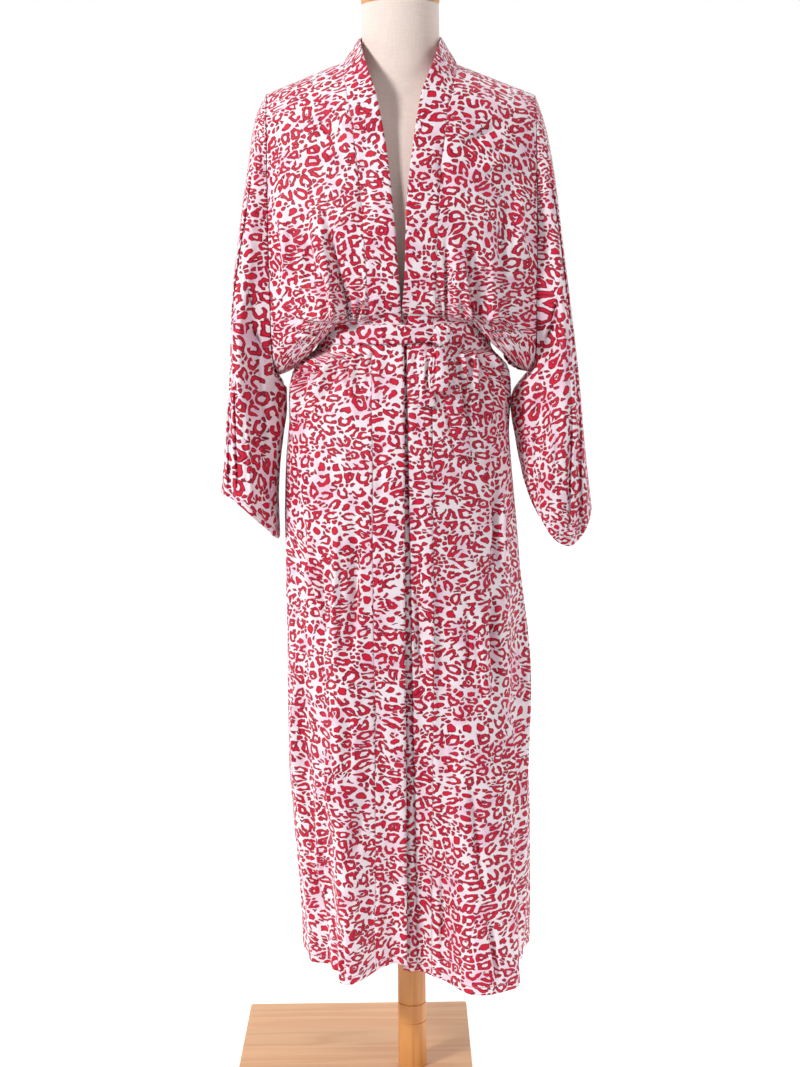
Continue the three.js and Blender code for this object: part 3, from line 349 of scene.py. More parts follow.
# The cap's radius, and height over its lower face.
CAP_PROFILE = (
    (0, 0), (53.4, 0), (54.2, 0.8), (55, 2.6), (55, 9.5), (54.4, 11.4), (52.6, 13.6), (49, 16), (38, 19.6),
    (24, 22.4), (11, 23.7), (0, 24),
)
POLE_RADIUS = 21.5
GROOVES = (98, 128)
# A groove's height over its middle, and depth.
GROOVE_PROFILE = ((-1.6, 0), (-1.2, 0.5), (-0.3, 1.5), (0.3, 1.5), (1.2, 0.5), (1.6, 0))
BOARD_X = (-268, 92)
BOARD_Y = (-165, 223)
BOARD_THICK = 25.0


class Table:
    """Short table of named columns, read on smooth curves that don't overshoot its rows."""

    def __init__(self, columns, rows, key=None):
        place = columns.index(key) if key else None
        keyed = sorted(((float(n) if place is None else float(row[place])), row) for n, row in enumerate(rows))
        self.keys = [k for k, _ in keyed]
        self.values = {name: [float(row[n]) for _, row in keyed] for n, name in enumerate(columns)}
        self.slopes = {name: self.slope_list(values) for name, values in self.values.items()}

    def slope_list(self, values):
        keys = self.keys
        rates = [(values[k + 1] - values[k]) / (keys[k + 1] - keys[k]) for k in range(len(keys) - 1)]
        inner = [0.0 if a * b <= 0 else 2 * a * b / (a + b) for a, b in zip(rates, rates[1:])]
        return [rates[0], *inner, rates[-1]]

    def read(self, name, key):
        keys = self.keys
        key = min(max(key, keys[0]), keys[-1])
        k = min(bisect.bisect_right(keys, key) - 1, len(keys) - 2)
        step = keys[k + 1] - keys[k]
        t = (key - keys[k]) / step
        t2 = t * t
        t3 = t2 * t
        values, slopes = self.values[name], self.slopes[name]
        return (
            (2 * t3 - 3 * t2 + 1) * values[k]
            + (t3 - 2 * t2 + t) * step * slopes[k]
            + (3 * t2 - 2 * t3) * values[k + 1]
            + (t3 - t2) * step * slopes[k + 1]
        )


section = Table(SECTION_COLUMNS, SECTIONS)
opening = Table(OPENING_COLUMNS, OPENING, "z")
hem = Table(HEM_COLUMNS, HEM, "at")
roll = Table(ROLL_COLUMNS, ROLL, "at")
form = Table(FORM_COLUMNS, FORM, "z")
sleeves = {side: Table(SLEEVE_COLUMNS, rows, "along") for side, rows in SLEEVES.items()}


def clamp(value, low, high):
    return min(max(value, low), high)


def lerp(a, b, t):
    return a + (b - a) * t


def smooth(t):
    t = clamp(t, 0.0, 1.0)
    return t * t * (3 - 2 * t)


def hump(t):
    return math.cos(t * math.pi / 2) ** 2 if abs(t) < 1 else 0.0


def steps(start, end, count):
    return [lerp(start, end, n / count) for n in range(count + 1)]


def side_name(sign):
    return "right" if sign < 0 else "left"


def between(a, b, full_turn=360):
    """Shortest way round from one angle to another, in degrees."""
    return (a - b + full_turn / 2) % full_turn - full_turn / 2


def fold_depth(angle, z):
    """How far the main folds push the cloth out."""
    depth = 0.0
    for at, inward, outward, deep, top, grow in FOLDS:
        if z < top:
            off = between(angle, at)
            width = outward if off * math.copysign(1, at) > 0 else inward
            if abs(off) < width:
                depth += deep * clamp((top - z) / (top - HEM_Z), 0, 1.1) ** grow * hump(off / width)
    for at, width, deep, top in GATHERS:
        if GATHER_LOW - 40 < z < top:
            off = between(angle, at)
            if abs(off) < width:
                down = clamp((top - z) / (top - GATHER_LOW), 0, 1) ** 0.8
                depth += deep * down * smooth((z - GATHER_LOW + 14) / 26) * hump(off / width)
    return depth


def crease_depth(creases, around, height, around_scale, height_scale, full_turn=360):
    """Sum of the creases near a place."""
    depth = 0.0
    for a0, h0, a1, h1, wide, deep, bend, peak, lean in creases:
        run_a = between(a1, a0, full_turn) * around_scale
        run_h = (h1 - h0) * height_scale
        off_a = between(around, a0, full_turn) * around_scale
        off_h = (height - h0) * height_scale
        length = math.hypot(run_a, run_h)
        along = (off_a * run_a + off_h * run_h) / (length * length)
        if not 0 < along < 1:
            continue
        aside = (off_a * run_h - off_h * run_a) / length - bend * math.sin(math.pi * along)
        if abs(aside) >= wide * 2.8:
            continue
        strong = smooth(along / peak) if along < peak else smooth((1 - along) / (1 - peak))
        width = wide * (0.7 + 0.9 * abs(along - peak)) * (1 - lean if aside > 0 else 1 + lean)
        depth += deep * strong * hump(aside / width)
    return depth


def unevenness(a, b):
    """Slow, shallow waviness that cloth keeps everywhere, from two lengths in millimetres."""
    return (
        0.55 * math.sin(a / 23 + 1.3 * math.sin(b / 71))
        + 0.45 * math.sin(a / 13.7 - b / 97 + 2.1)
        + 0.40 * math.sin(b / 31 + a / 47)
    )


def settings():
    """The robe's settings, as the panel shows them."""
    return bpy.context.scene.kimono_robe


@functools.lru_cache(maxsize=None)
def body_row(t, sign):
    """Measures of one section, with its half width on one side and its turn in radians."""
    row = {name: section.read(name, t) for name in SECTION_COLUMNS}
    row["half"] = row[side_name(sign)]
    row["turn"] = math.radians(row["turn"])
    row["end"] = max(math.cos(row["turn"]), 0) ** BOW
    return row


def ridge_height(sign, across):
    """Height of the shoulder seam at a place."""
    inner, outer = SECTIONS[0][0], SECTIONS[0][1]
    half = SECTIONS[0][2 if sign < 0 else 3]
    return inner - (across - NECK_HALF) * (inner - outer) / (half - NECK_HALF)


def body_point(t, sign, across, front):
    """Point of the body's cloth on a section, at a side and a place counted from the middle."""
    row = body_row(t, sign)
    half, turn = row["half"], row["turn"]
    x = min(across, half)
    phi = math.asin(clamp(x / half * math.sin(turn), -1, 1))
    out = max(0.0, (x - NECK_HALF) / (half - NECK_HALF))
    z = lerp(row["inner"], row["outer"], clamp(out, 0, 1))
    bow = (max(math.cos(phi), 0) ** BOW - row["end"]) / (1 - row["end"])
    deep = lerp(row["front_side" if front else "back_side"], row["front" if front else "back"], bow)
    turned = clamp((ridge_height(sign, x) - z) / SHOULDER_ROUND, 0, 1)
    y = RIDGE_Y + (deep - RIDGE_Y) * math.sqrt(1 - (1 - turned) ** 2)
    face = math.degrees(phi)
    angle = sign * (face if front else 180 - face)
    push = fold_depth(angle, z)
    off_belt = max(smooth((abs(z - CALM_AT) - CALM_HALF) / CALM_FADE), smooth((x - CALM_SIDE) / CALM_SIDE_FADE))
    on_field = smooth(turned / 0.6) * off_belt
    if front and t < UNDERARM + 3:
        creased = crease_depth(BODICE_CREASES, sign * x, z, 1.0, 1.0, 1e6)
    else:
        creased = crease_depth(CREASES, angle, z, MM_PER_DEGREE, 1.0)
    push += settings().crease_depth * on_field * creased
    push += on_field * unevenness(angle * MM_PER_DEGREE, z) * settings().waviness
    if abs(z - ROLL_AT) < ROLL_REACH:
        out = roll.read("out", angle) * (1 - smooth((x - ROLL_SIDE) / ROLL_SIDE_FADE))
        push += out * hump((z - ROLL_AT + 3) / ROLL_OUT_HALF)
        z -= 1.5 * out * hump((z - ROLL_AT) / ROLL_DOWN_HALF)
    low = 1 - smooth((z - HEM_Z) / HEM_REACH)
    z += hem.read("lift", angle) * low
    if sign > 0:
        z -= LEFT_LOWER * smooth((z - LEFT_LOWER_FROM) / (RIDGE_TOP - LEFT_LOWER_FROM)) * min(x / NECK_HALF, 1)
    nx = math.sin(phi)
    ny = (-1 if front else 1) * math.cos(phi)
    return Vector((sign * (x + nx * push), y + ny * push, z))


def front_point(t, sign, across):
    """Point of a front; the left one slips under the right one at the middle."""
    point = body_point(t, sign, abs(across), True)
    if across < 0:
        point.x = -point.x
    if sign > 0:
        # It comes up level again close beside the right front's edge, and leaves a narrow slit.
        beside = point.x - edge_across(body_row(t, sign)["inner"], -1) - LIP_FROM
        slit = TUCK_DEEP * (1 - smooth(beside / LIP_WIDE)) + TUCK_SHALLOW * (1 - smooth(beside / TUCK_WIDE))
        point.y += slit * smooth((TUCK_TOP - point.z) / TUCK_FADE)
    return point


def band_places(z, sign, columns):
    """Places across a band; the left one's lie close together at the right front's edge."""
    edge, seam = edge_across(z, sign), seam_across(z, sign) - SEAM / 2
    if sign < 0:
        return steps(edge, seam, columns)
    lip = clamp(edge_across(z, -1) + LIP_FROM, edge + 4, seam - LIP_WIDE - 8)
    inner = steps(edge, lip, 4) + steps(lip, lip + LIP_WIDE, 3)[1:]
    return inner + steps(lip + LIP_WIDE, seam, columns - 3)[1:]


def edge_across(z, sign):
    """Where a front's free edge lies at a height, counted from the middle."""
    return sign * opening.read(side_name(sign), z)


def seam_across(z, sign):
    """Where the band's seam lies at a height."""
    return edge_across(z, sign) + opening.read("band", z)


def across_at(half, turn, phi):
    """Place across a section for an angle, so that rows are even round the body."""
    return half * math.sin(phi) / math.sin(turn)


def body_rows():
    """Section values of the panels' rows, evenly spaced down the cloth."""
    rows = []
    for k in range(LAST):
        a, b = SECTIONS[k], SECTIONS[k + 1]
        run = max(abs(a[0] - b[0]), abs(a[1] - b[1]), math.hypot(a[2] - b[2], a[1] - b[1]), 6)
        near_belt = UNDERARM - 1 <= k <= UNDERARM + 4
        count = max(2, math.ceil(run / (STEP * (ROWS_CLOSE if near_belt else ROWS_WIDE))))
        rows += [k + n / count for n in range(count)]
    return rows + [float(LAST)]


def band_ends(t, sign):
    """Free edge and seam of the band, which stands up from the front beside the neck."""
    z = section.read("inner", t)
    seam = front_point(t, sign, seam_across(z, sign) - SEAM / 2)
    edge = front_point(t, sign, edge_across(z, sign))
    rise = opening.read("rise", z)
    if rise > 0:
        on_field = turned_part(ridge_height(sign, abs(edge.x)) - z)
        standing = turned_part(OPENING[0][0] + OPENING[0][4] - (z + rise))
        edge.y = RIDGE_Y + (edge.y - RIDGE_Y) * standing / max(on_field, 1e-6)
        edge.z = z + rise
    return edge, seam


def turned_part(drop):
    """How far the cloth has turned down at a drop below the shoulder seam, 0 to 1."""
    return math.sqrt(1 - (1 - clamp(drop / SHOULDER_ROUND, 0, 1)) ** 2)


def sleeve_plain(table, sign, along, c, s):
    """Point of a sleeve without its folds, and before it is drawn to the armhole."""
    in_front = s >= 0
    part = (1 - math.copysign(abs(c) ** 0.9, c)) / 2
    x = lerp(table.read("top_x", along), table.read("low_x", along), part ** table.read("hug", along))
    z = lerp(table.read("top_z", along), table.read("low_z", along), part) - table.read("sag", along) * s * s
    deep = table.read("front" if in_front else "back", along)
    y = deep * abs(s) ** 0.8 + RIDGE_Y * (1 - along) * (1 - part)
    return Vector((sign * x, y, z))


def sleeve_point(sign, along, degrees):
    """Point of a sleeve: 0 armhole to 1 cuff, and degrees from the fold on top, front half first."""
    table = sleeves[side_name(sign)]
    c = math.cos(math.radians(degrees))
    s = math.sin(math.radians(degrees))
    in_front = s >= 0
    point = sleeve_plain(table, sign, along, c, s)
    t = UNDERARM * math.acos(clamp(c, -1, 1)) / math.pi
    half = section.read(side_name(sign), t)
    hole = front_point(t, sign, half) if in_front else body_point(t, sign, half, False)
    hole.x += sign * lerp(ARMHOLE_GAP, UNDERARM_GAP, smooth(t - (UNDERARM - 2)))
    point += (hole - sleeve_plain(table, sign, 0.0, c, s)) * (1 - along) ** 3
    angle = math.degrees(math.acos(clamp(c, -1, 1))) * (1 if in_front else -1)
    push = sum(deep * hump(between(angle, at) / wide) for at, wide, deep in FLUTES) * smooth(along / 0.6)
    creases = SLEEVE_CREASES[side_name(sign)]
    fine = crease_depth(creases, angle, along, SLEEVE_MM_PER_DEGREE, SLEEVE_LENGTH) * settings().crease_depth
    fine += unevenness(angle * SLEEVE_MM_PER_DEGREE, along * SLEEVE_LENGTH) * settings().waviness
    push += fine * smooth(along / 0.1)
    point.y += (-1 if in_front else 1) * push * abs(s)
    return point


def waist_point(t, degrees, out):
    """Point outside the waist at an angle from the front, for the belt."""
    turn = abs(between(degrees, 0))
    sign = -1 if between(degrees, 0) < 0 else 1
    front = turn <= 90
    phi = math.radians(turn if front else 180 - turn)
    half = section.read(side_name(sign), t)
    deep = section.read("front" if front else "back", t)
    y = deep * max(math.cos(phi), 0) ** BOW
    y += (-1 if front else 1) * out * math.cos(phi)
    return Vector((sign * (half + out) * math.sin(phi), y, section.read("inner", t)))


@functools.lru_cache(maxsize=None)
def section_at(z):
    """Section value at a height of the fronts' inner edge."""
    above, below = 0.0, float(LAST)
    for _ in range(24):
        t = (above + below) / 2
        if section.read("inner", t) > z:
            above = t
        else:
            below = t
    return above


# --- making pieces ---


def finish_piece(obj, node_names):
    """Links a piece, and says what it rides on and which parts it replaces."""
    bpy.context.scene.collection.objects.link(obj)
    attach(obj, "root")
    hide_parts(*node_names)


def object_of(bm, name, material, smooth_faces=True, sharp=None):
    """Object from a bmesh, which is freed. Edges over an angle in degrees can be kept sharp."""
    if smooth_faces:
        for face in bm.faces:
            face.smooth = True
    mesh = bpy.data.meshes.new(name)
    bm.to_mesh(mesh)
    bm.free()
    if sharp:
        mesh.set_sharp_from_angle(angle=math.radians(sharp))
    mesh.materials.append(material)
    return bpy.data.objects.new(name, mesh)


def flatten(obj, down, shift):
    """Gives a sheet the shape that its cloth has when it is laid flat, in millimetres, as its map.
    down is a pair of vertices, of which the second is to lie below the first."""
    bpy.context.view_layer.objects.active = obj
    bpy.ops.object.select_all(action="DESELECT")
    obj.select_set(True)
    bpy.ops.object.mode_set(mode="EDIT")
    bpy.ops.mesh.select_all(action="SELECT")
    bpy.ops.uv.unwrap(method="CONFORMAL", margin=0.0)
    bpy.ops.object.mode_set(mode="OBJECT")
    mesh = obj.data
    data = mesh.uv_layers["cloth_mm"].data
    flat = 0.0
    for face in mesh.polygons:
        corners = [data[k].uv for k in face.loop_indices]
        flat += abs(sum(a.cross(b) for a, b in zip(corners, corners[1:] + corners[:1]))) / 2
    size = math.sqrt(sum(face.area for face in mesh.polygons) / flat) / MM
    places = {loop.vertex_index: data[loop.index].uv.copy() for loop in mesh.loops if loop.vertex_index in down}
    way = places[down[1]] - places[down[0]]
    turn = Matrix.Rotation(-math.pi / 2 - math.atan2(way.y, way.x), 2)
    for item in data:
        item.uv = turn @ item.uv * size + Vector(shift)


def cloth(name, nodes, points, finished=(), wrapped=False, thick=1.2, hem_wide=18.0, centre=0.5,
          laid_flat=False, shift=(0, 0)):
    """Sheet of cloth through a grid of points, from create_grid's flat one. It carries a map of
    its own lengths in millimetres, and each vertex its distance from the nearest finished edge."""
    down, across = len(points) - 1, len(points[0]) - 1
    along_row = [[0.0] for _ in points]
    for j, row in enumerate(points):
        for a, b in zip(row, row[1:]):
            along_row[j].append(along_row[j][-1] + (b - a).length)
    along_column = [[0.0] * (across + 1)]
    for above, below in zip(points, points[1:]):
        last = along_column[-1]
        along_column.append([last[i] + (below[i] - above[i]).length for i in range(across + 1)])

    def edge_distance(i, j):
        ways = {
            "top": along_column[j][i],
            "bottom": along_column[down][i] - along_column[j][i],
            "first": along_row[j][i],
            "last": along_row[j][across] - along_row[j][i],
        }
        return min((ways[edge] for edge in finished), default=1000.0)

    bm = bmesh.new()
    bmesh.ops.create_grid(bm, x_segments=across, y_segments=down, size=0.5)
    length_map = bm.loops.layers.uv.new("cloth_mm")
    ends = {}
    fallen = [sum(row) / len(row) for row in along_column]
    edge_layer = bm.verts.layers.float.new("edge_mm")
    group_layer = bm.verts.layers.deform.verify()
    column_layer = bm.verts.layers.int.new("column")
    for vert in bm.verts:
        i = round((vert.co.x + 0.5) * across)
        j = round((0.5 - vert.co.y) * down)
        vert.co = points[j][i] * MM
        distance = edge_distance(i, j)
        vert[edge_layer] = distance
        vert[group_layer][0] = 1 - smooth((distance - hem_wide) / 1.5)
        vert[column_layer] = i % across if wrapped else i
        for loop in vert.link_loops:
            loop[length_map].uv = (along_row[j][i] - along_row[j][across] * centre + shift[0], shift[1] - fallen[j])
        if i == across // 2 and j in (0, down):
            ends[j] = vert
    if wrapped:
        bmesh.ops.remove_doubles(bm, verts=bm.verts, dist=MERGE)
        for edge in bm.edges:
            edge.seam = all(vert[column_layer] == 0 for vert in edge.verts)
    bm.normal_update()
    ring = points[down // 2][:-1]
    inside = sum(ring, Vector()) / len(ring) * MM if wrapped else Vector((0, 0.004, 0))
    facing = 0.0
    for face in bm.faces:
        out = face.calc_center_median() - inside
        out.z = 0
        facing += face.normal.dot(out) * face.calc_area()
    if facing < 0:
        bmesh.ops.reverse_faces(bm, faces=bm.faces)
    bm.verts.index_update()
    way_down = (ends[0].index, ends[down].index)
    obj = object_of(bm, name, printed_cloth())
    obj.vertex_groups.new(name="hem")
    solid = obj.modifiers.new("cloth thickness", "SOLIDIFY")
    solid.thickness = thick * MM
    solid.offset = 0
    solid.vertex_group = "hem"
    solid.thickness_vertex_group = 0.6 if finished else 1.0
    finish_piece(obj, nodes)
    if laid_flat:
        flatten(obj, way_down, shift)
    return obj


def spun(name, nodes, profile, material, segments=72):
    """Round piece from a profile of radius and height that is turned about the pole's axis."""
    bm = bmesh.new()
    verts = [bm.verts.new((r * MM, 0, z * MM)) for r, z in profile]
    edges = [bm.edges.new(pair) for pair in zip(verts, verts[1:])]
    bmesh.ops.spin(
        bm, geom=verts + edges, cent=(0, 0, 0), axis=(0, 0, 1), angle=2 * math.pi, steps=segments, use_merge=True
    )
    bmesh.ops.remove_doubles(bm, verts=bm.verts, dist=MERGE)
    bmesh.ops.recalc_face_normals(bm, faces=bm.faces)
    finish_piece(object_of(bm, name, material, sharp=35), nodes)


# --- finishes ---


def linear(hex_colour):
    """Linear colour of an sRGB hex value."""
    parts = [int(hex_colour[k : k + 2], 16) / 255 for k in (1, 3, 5)]
    return (*(p / 12.92 if p <= 0.04045 else ((p + 0.055) / 1.055) ** 2.4 for p in parts), 1.0)


def add(tree, kind, inputs=None, **options):
    """Adds a node with its options, and sets or links its inputs."""
    node = tree.nodes.new(kind)
    for option, value in options.items():
        setattr(node, option, value)
    for socket, value in (inputs or {}).items():
        if isinstance(value, bpy.types.NodeSocket):
            tree.links.new(value, node.inputs[socket])
        else:
            node.inputs[socket].default_value = value
    return node


def math_node(tree, operation, *values):
    """Math node with its values or links, as its result."""
    return add(tree, "ShaderNodeMath", dict(enumerate(values)), operation=operation).outputs[0]


def ramp(tree, value, start, end, low=0.0, high=1.0):
    """Maps a value from one range to another, clamped."""
    inputs = {"Value": value, "From Min": start, "From Max": end, "To Min": low, "To Max": high}
    return add(tree, "ShaderNodeMapRange", inputs).outputs[0]


def blend_colour(tree, factor, a, b):
    """Mixes two colours."""
    return add(tree, "ShaderNodeMix", {"Factor": factor, "A": a, "B": b}, data_type="RGBA").outputs["Result"]


def blend_value(tree, factor, a, b):
    """Mixes two numbers."""
    return add(tree, "ShaderNodeMix", {"Factor": factor, "A": a, "B": b}, data_type="FLOAT").outputs["Result"]


def vector_node(tree, operation, a, b):
    """Vector math node of two vectors, or of a vector and a scale, as its vector."""
    second = "Scale" if operation == "SCALE" else 1
    return add(tree, "ShaderNodeVectorMath", {0: a, second: b}, operation=operation).outputs[0]


def noise_node(tree, place, scale, detail, flat=True):
    """Noise on the cloth's map, or in space: the node, of which output 0 is its value."""
    inputs = {"Vector": place, "Scale": scale, "Detail": detail}
    return add(tree, "ShaderNodeTexNoise", inputs, noise_dimensions="2D" if flat else "3D")


def stretch_space(tree, place, scale):
    """Places scaled by a number for each axis."""
    return add(tree, "ShaderNodeMapping", {"Vector": place, "Scale": scale}).outputs[0]


def wander(tree, place, over, far):
    """Moves places on the map by noise: over a length in millimetres, and as far as half of far."""
    noise = noise_node(tree, place, 1 / over, 1.0).outputs["Color"]
    off = vector_node(tree, "SCALE", vector_node(tree, "SUBTRACT", noise, (0.5, 0.5, 0.5)), float(far))
    return vector_node(tree, "ADD", place, off)


def new_material(name):
    """New material and its empty node tree, or the one of that name and None."""
    material = bpy.data.materials.get(name)
    if material:
        return material, None
    material = bpy.data.materials.new(name)
    material.use_nodes = True
    material.node_tree.nodes.clear()
    return material, material.node_tree


def close_material(tree, shader):
    """Links a shader to the material's output."""
    add(tree, "ShaderNodeOutputMaterial", {"Surface": shader.outputs["BSDF"]})


def spot_layer(tree, place, spacing, sizes, stretch, gap):
    """One layer of separate spots on a map in millimetres: one spot to a cell, an oval turned its
    own way and kept clear of its neighbours. Gives each point's depth inside its spot (below 0
    outside), its distance and bearing from the middle, the cell's three chances and its middle."""
    scaled = vector_node(tree, "SCALE", place, 1 / spacing)
    cell = {"Vector": scaled, "Scale": 1.0, "Randomness": 0.75}
    cells = add(tree, "ShaderNodeTexVoronoi", cell, voronoi_dimensions="2D")
    border = add(tree, "ShaderNodeTexVoronoi", cell, voronoi_dimensions="2D", feature="DISTANCE_TO_EDGE")
    away = vector_node(tree, "SUBTRACT", scaled, cells.outputs["Position"])
    chance = add(tree, "ShaderNodeSeparateColor", {0: cells.outputs["Color"]})
    turn = math_node(tree, "MULTIPLY", chance.outputs[0], 2 * math.pi)
    turned = add(tree, "ShaderNodeVectorRotate", {"Vector": away, "Angle": turn}, rotation_type="Z_AXIS").outputs[0]
    shaped = vector_node(tree, "MULTIPLY", turned, (1 / stretch, stretch, 0))
    radius = add(tree, "ShaderNodeVectorMath", {0: shaped}, operation="LENGTH").outputs["Value"]
    size = ramp(tree, chance.outputs[1], 0, 1, *sizes)
    inside = math_node(tree, "SUBTRACT", size, math_node(tree, "MULTIPLY", radius, spacing))
    clear = math_node(tree, "MULTIPLY_ADD", border.outputs["Distance"], spacing, -gap)
    depth = math_node(tree, "SMOOTH_MIN", inside, clear, 1.6)
    parts = add(tree, "ShaderNodeSeparateXYZ", {0: shaped})
    bearing = math_node(tree, "ABSOLUTE", math_node(tree, "ARCTAN2", parts.outputs[1], parts.outputs[0]))
    middle = vector_node(tree, "SCALE", cells.outputs["Position"], spacing)
    return depth, math_node(tree, "MULTIPLY", radius, spacing), bearing, chance, middle


def rosettes(tree, place):
    """The print's large marks: their depth, radius, bearing, chances and the width of their stroke."""
    layer = spot_layer(tree, place, settings().rosette_spacing, (8.0, 11.8), 1.22, 1.7)
    return *layer[:4], ramp(tree, layer[3].outputs[1], 0, 1, 4.5, 5.5)


def printed_cloth():
    """Polyester satin crepe, printed on both sides: a soft low sheen, pale pink ground, and a cat
    spot print of crimson outlines with brighter red inside."""
    material, tree = new_material("printed_satin_crepe")
    if tree is None:
        return material
    props = settings()
    lengths = add(tree, "ShaderNodeUVMap", uv_map="cloth_mm").outputs[0]
    # The marks flow: they lean and stretch over 90 mm, and their edges waver over 8 mm.
    flow = wander(tree, lengths, 90, 24)
    place = wander(tree, flow, 8, 3.2)
    lying = vector_node(tree, "MULTIPLY", place, (0.94, 1.31, 0))
    depth, radius, bearing, chance, stroke = rosettes(tree, lying)
    # Most are rings, open on one side; the smaller fifth are full.
    hollow = math_node(tree, "MINIMUM", depth, math_node(tree, "SUBTRACT", stroke, depth))
    mouth = ramp(tree, chance.outputs[2], 0.15, 1, 0, 1.0)
    mouth = math_node(tree, "MULTIPLY", math_node(tree, "SUBTRACT", bearing, mouth), radius)
    ring = math_node(tree, "SMOOTH_MIN", hollow, mouth, 1.6)
    full = math_node(tree, "LESS_THAN", chance.outputs[1], 0.2)
    blob = math_node(tree, "SUBTRACT", depth, 2.0)
    big = blend_value(tree, full, ring, blob)
    # Small marks lie between them and inside the largest rings: those whose middle has room.
    shift = (311.0, 173.0, 0.0)
    moved = vector_node(tree, "ADD", lying, shift)
    dash, _, _, _, middle = spot_layer(tree, moved, props.dash_spacing, (3.3, 4.6), 1.28, 1.15)
    middle = vector_node(tree, "SUBTRACT", middle, shift)
    there, _, _, _, stroke_there = rosettes(tree, middle)
    outside = math_node(tree, "SUBTRACT", -1.9, there)
    inside = math_node(tree, "SUBTRACT", there, math_node(tree, "ADD", stroke_there, 2.0))
    room = math_node(tree, "GREATER_THAN", math_node(tree, "MAXIMUM", outside, inside), 0.0)
    beside = math_node(tree, "SUBTRACT", -0.9, depth)
    within = math_node(tree, "SUBTRACT", depth, math_node(tree, "ADD", stroke, 1.4))
    free = math_node(tree, "MAXIMUM", beside, within)
    small = math_node(tree, "SMOOTH_MIN", dash, free, 2.2)
    small = blend_value(tree, room, -3.0, small)
    mark = math_node(tree, "MAXIMUM", big, small)
    # A blotting over 8 mm swells and thins the strokes, and breaks some rings.
    blot = noise_node(tree, lying, 1 / 8, 1.0)
    mark = math_node(tree, "ADD", mark, ramp(tree, blot.outputs[0], 0.25, 0.75, -1.0, 1.1))
    ink = ramp(tree, mark, -0.45, -0.05)
    core = ramp(tree, mark, 0.95, 1.75)
    tint = noise_node(tree, lengths, 1 / 40, 2.0)
    ground = blend_colour(tree, ramp(tree, tint.outputs[0], 0.45, 0.75), props.ground_pale, props.ground_pink)
    spot = blend_colour(tree, core, props.spot_outline, props.spot_core)
    colour = blend_colour(tree, ink, ground, spot)
    return close_cloth(material, tree, lengths, colour)


def close_cloth(material, tree, lengths, colour):
    """Stitch line along the finished edges, weave and sheen, which all printed pieces share."""
    # Lockstitch 12 mm from the edge: stitches of 3 mm, drawn 0.9 mm wide so that they show.
    edge = add(tree, "ShaderNodeAttribute", attribute_name="edge_mm").outputs["Fac"]
    line = ramp(tree, math_node(tree, "ABSOLUTE", math_node(tree, "SUBTRACT", edge, 12.0)), 0.75, 0.3)
    parts = add(tree, "ShaderNodeSeparateXYZ", {0: lengths})
    run = math_node(tree, "ADD", parts.outputs[0], parts.outputs[1])
    dash = math_node(tree, "LESS_THAN", math_node(tree, "FLOORED_MODULO", run, 3.0), 2.3)
    stitch = math_node(tree, "MULTIPLY", line, dash)
    sewn = blend_colour(tree, stitch, colour, linear("#B87A8C"))
    # Threads 0.35 mm apart are drawn at 1.1 mm, as fine as shows.
    threads = {"Vector": lengths, "Scale": 1 / 1.1, "Randomness": 0.35}
    weave = add(tree, "ShaderNodeTexVoronoi", threads, voronoi_dimensions="2D").outputs["Distance"]
    weave = math_node(tree, "MULTIPLY", weave, 0.05)
    dent = math_node(tree, "MULTIPLY", stitch, -0.35)
    crinkle = math_node(tree, "MULTIPLY", noise_node(tree, lengths, 1 / 9, 2.0).outputs[0], 1.1)
    relief = math_node(tree, "ADD", math_node(tree, "ADD", weave, dent), crinkle)
    bump = add(tree, "ShaderNodeBump", {"Height": relief, "Distance": MM, "Strength": 0.6})
    shader = add(
        tree,
        "ShaderNodeBsdfPrincipled",
        {
            "Base Color": sewn,
            "Roughness": 0.62,
            "Specular IOR Level": 0.35,
            "Sheen Weight": 0.05,
            "Sheen Roughness": 0.4,
            "Normal": bump.outputs[0],
        },
    )
    close_material(tree, shader)
    return material


def linen():
    """Plain woven linen cover, off-white with a pink cast: matte, with slubs along both threads."""
    material, tree = new_material("plain_woven_linen")
    if tree is None:
        return material
    place = add(tree, "ShaderNodeTexCoord").outputs["Object"]
    # Slubs: threads 0.6 mm apart drawn at 1.4 mm, long and thin round the form and down it.
    weft = noise_node(tree, stretch_space(tree, place, (60, 60, 700)), 1.0, 2.0, flat=False).outputs[0]
    warp = noise_node(tree, stretch_space(tree, place, (700, 700, 50)), 1.0, 2.0, flat=False).outputs[0]
    threads = math_node(tree, "ADD", weft, warp)
    base = settings().linen_colour
    colour = blend_colour(tree, ramp(tree, threads, 0.7, 1.3), (*(c * 0.9 for c in base[:3]), 1), base)
    bump = add(tree, "ShaderNodeBump", {"Height": threads, "Distance": 0.4 * MM, "Strength": 0.5})
    shader = add(
        tree,
        "ShaderNodeBsdfPrincipled",
        {"Base Color": colour, "Roughness": 0.88, "Specular IOR Level": 0.2, "Sheen Weight": 0.2,
         "Normal": bump.outputs[0]},
    )
    close_material(tree, shader)
    return material


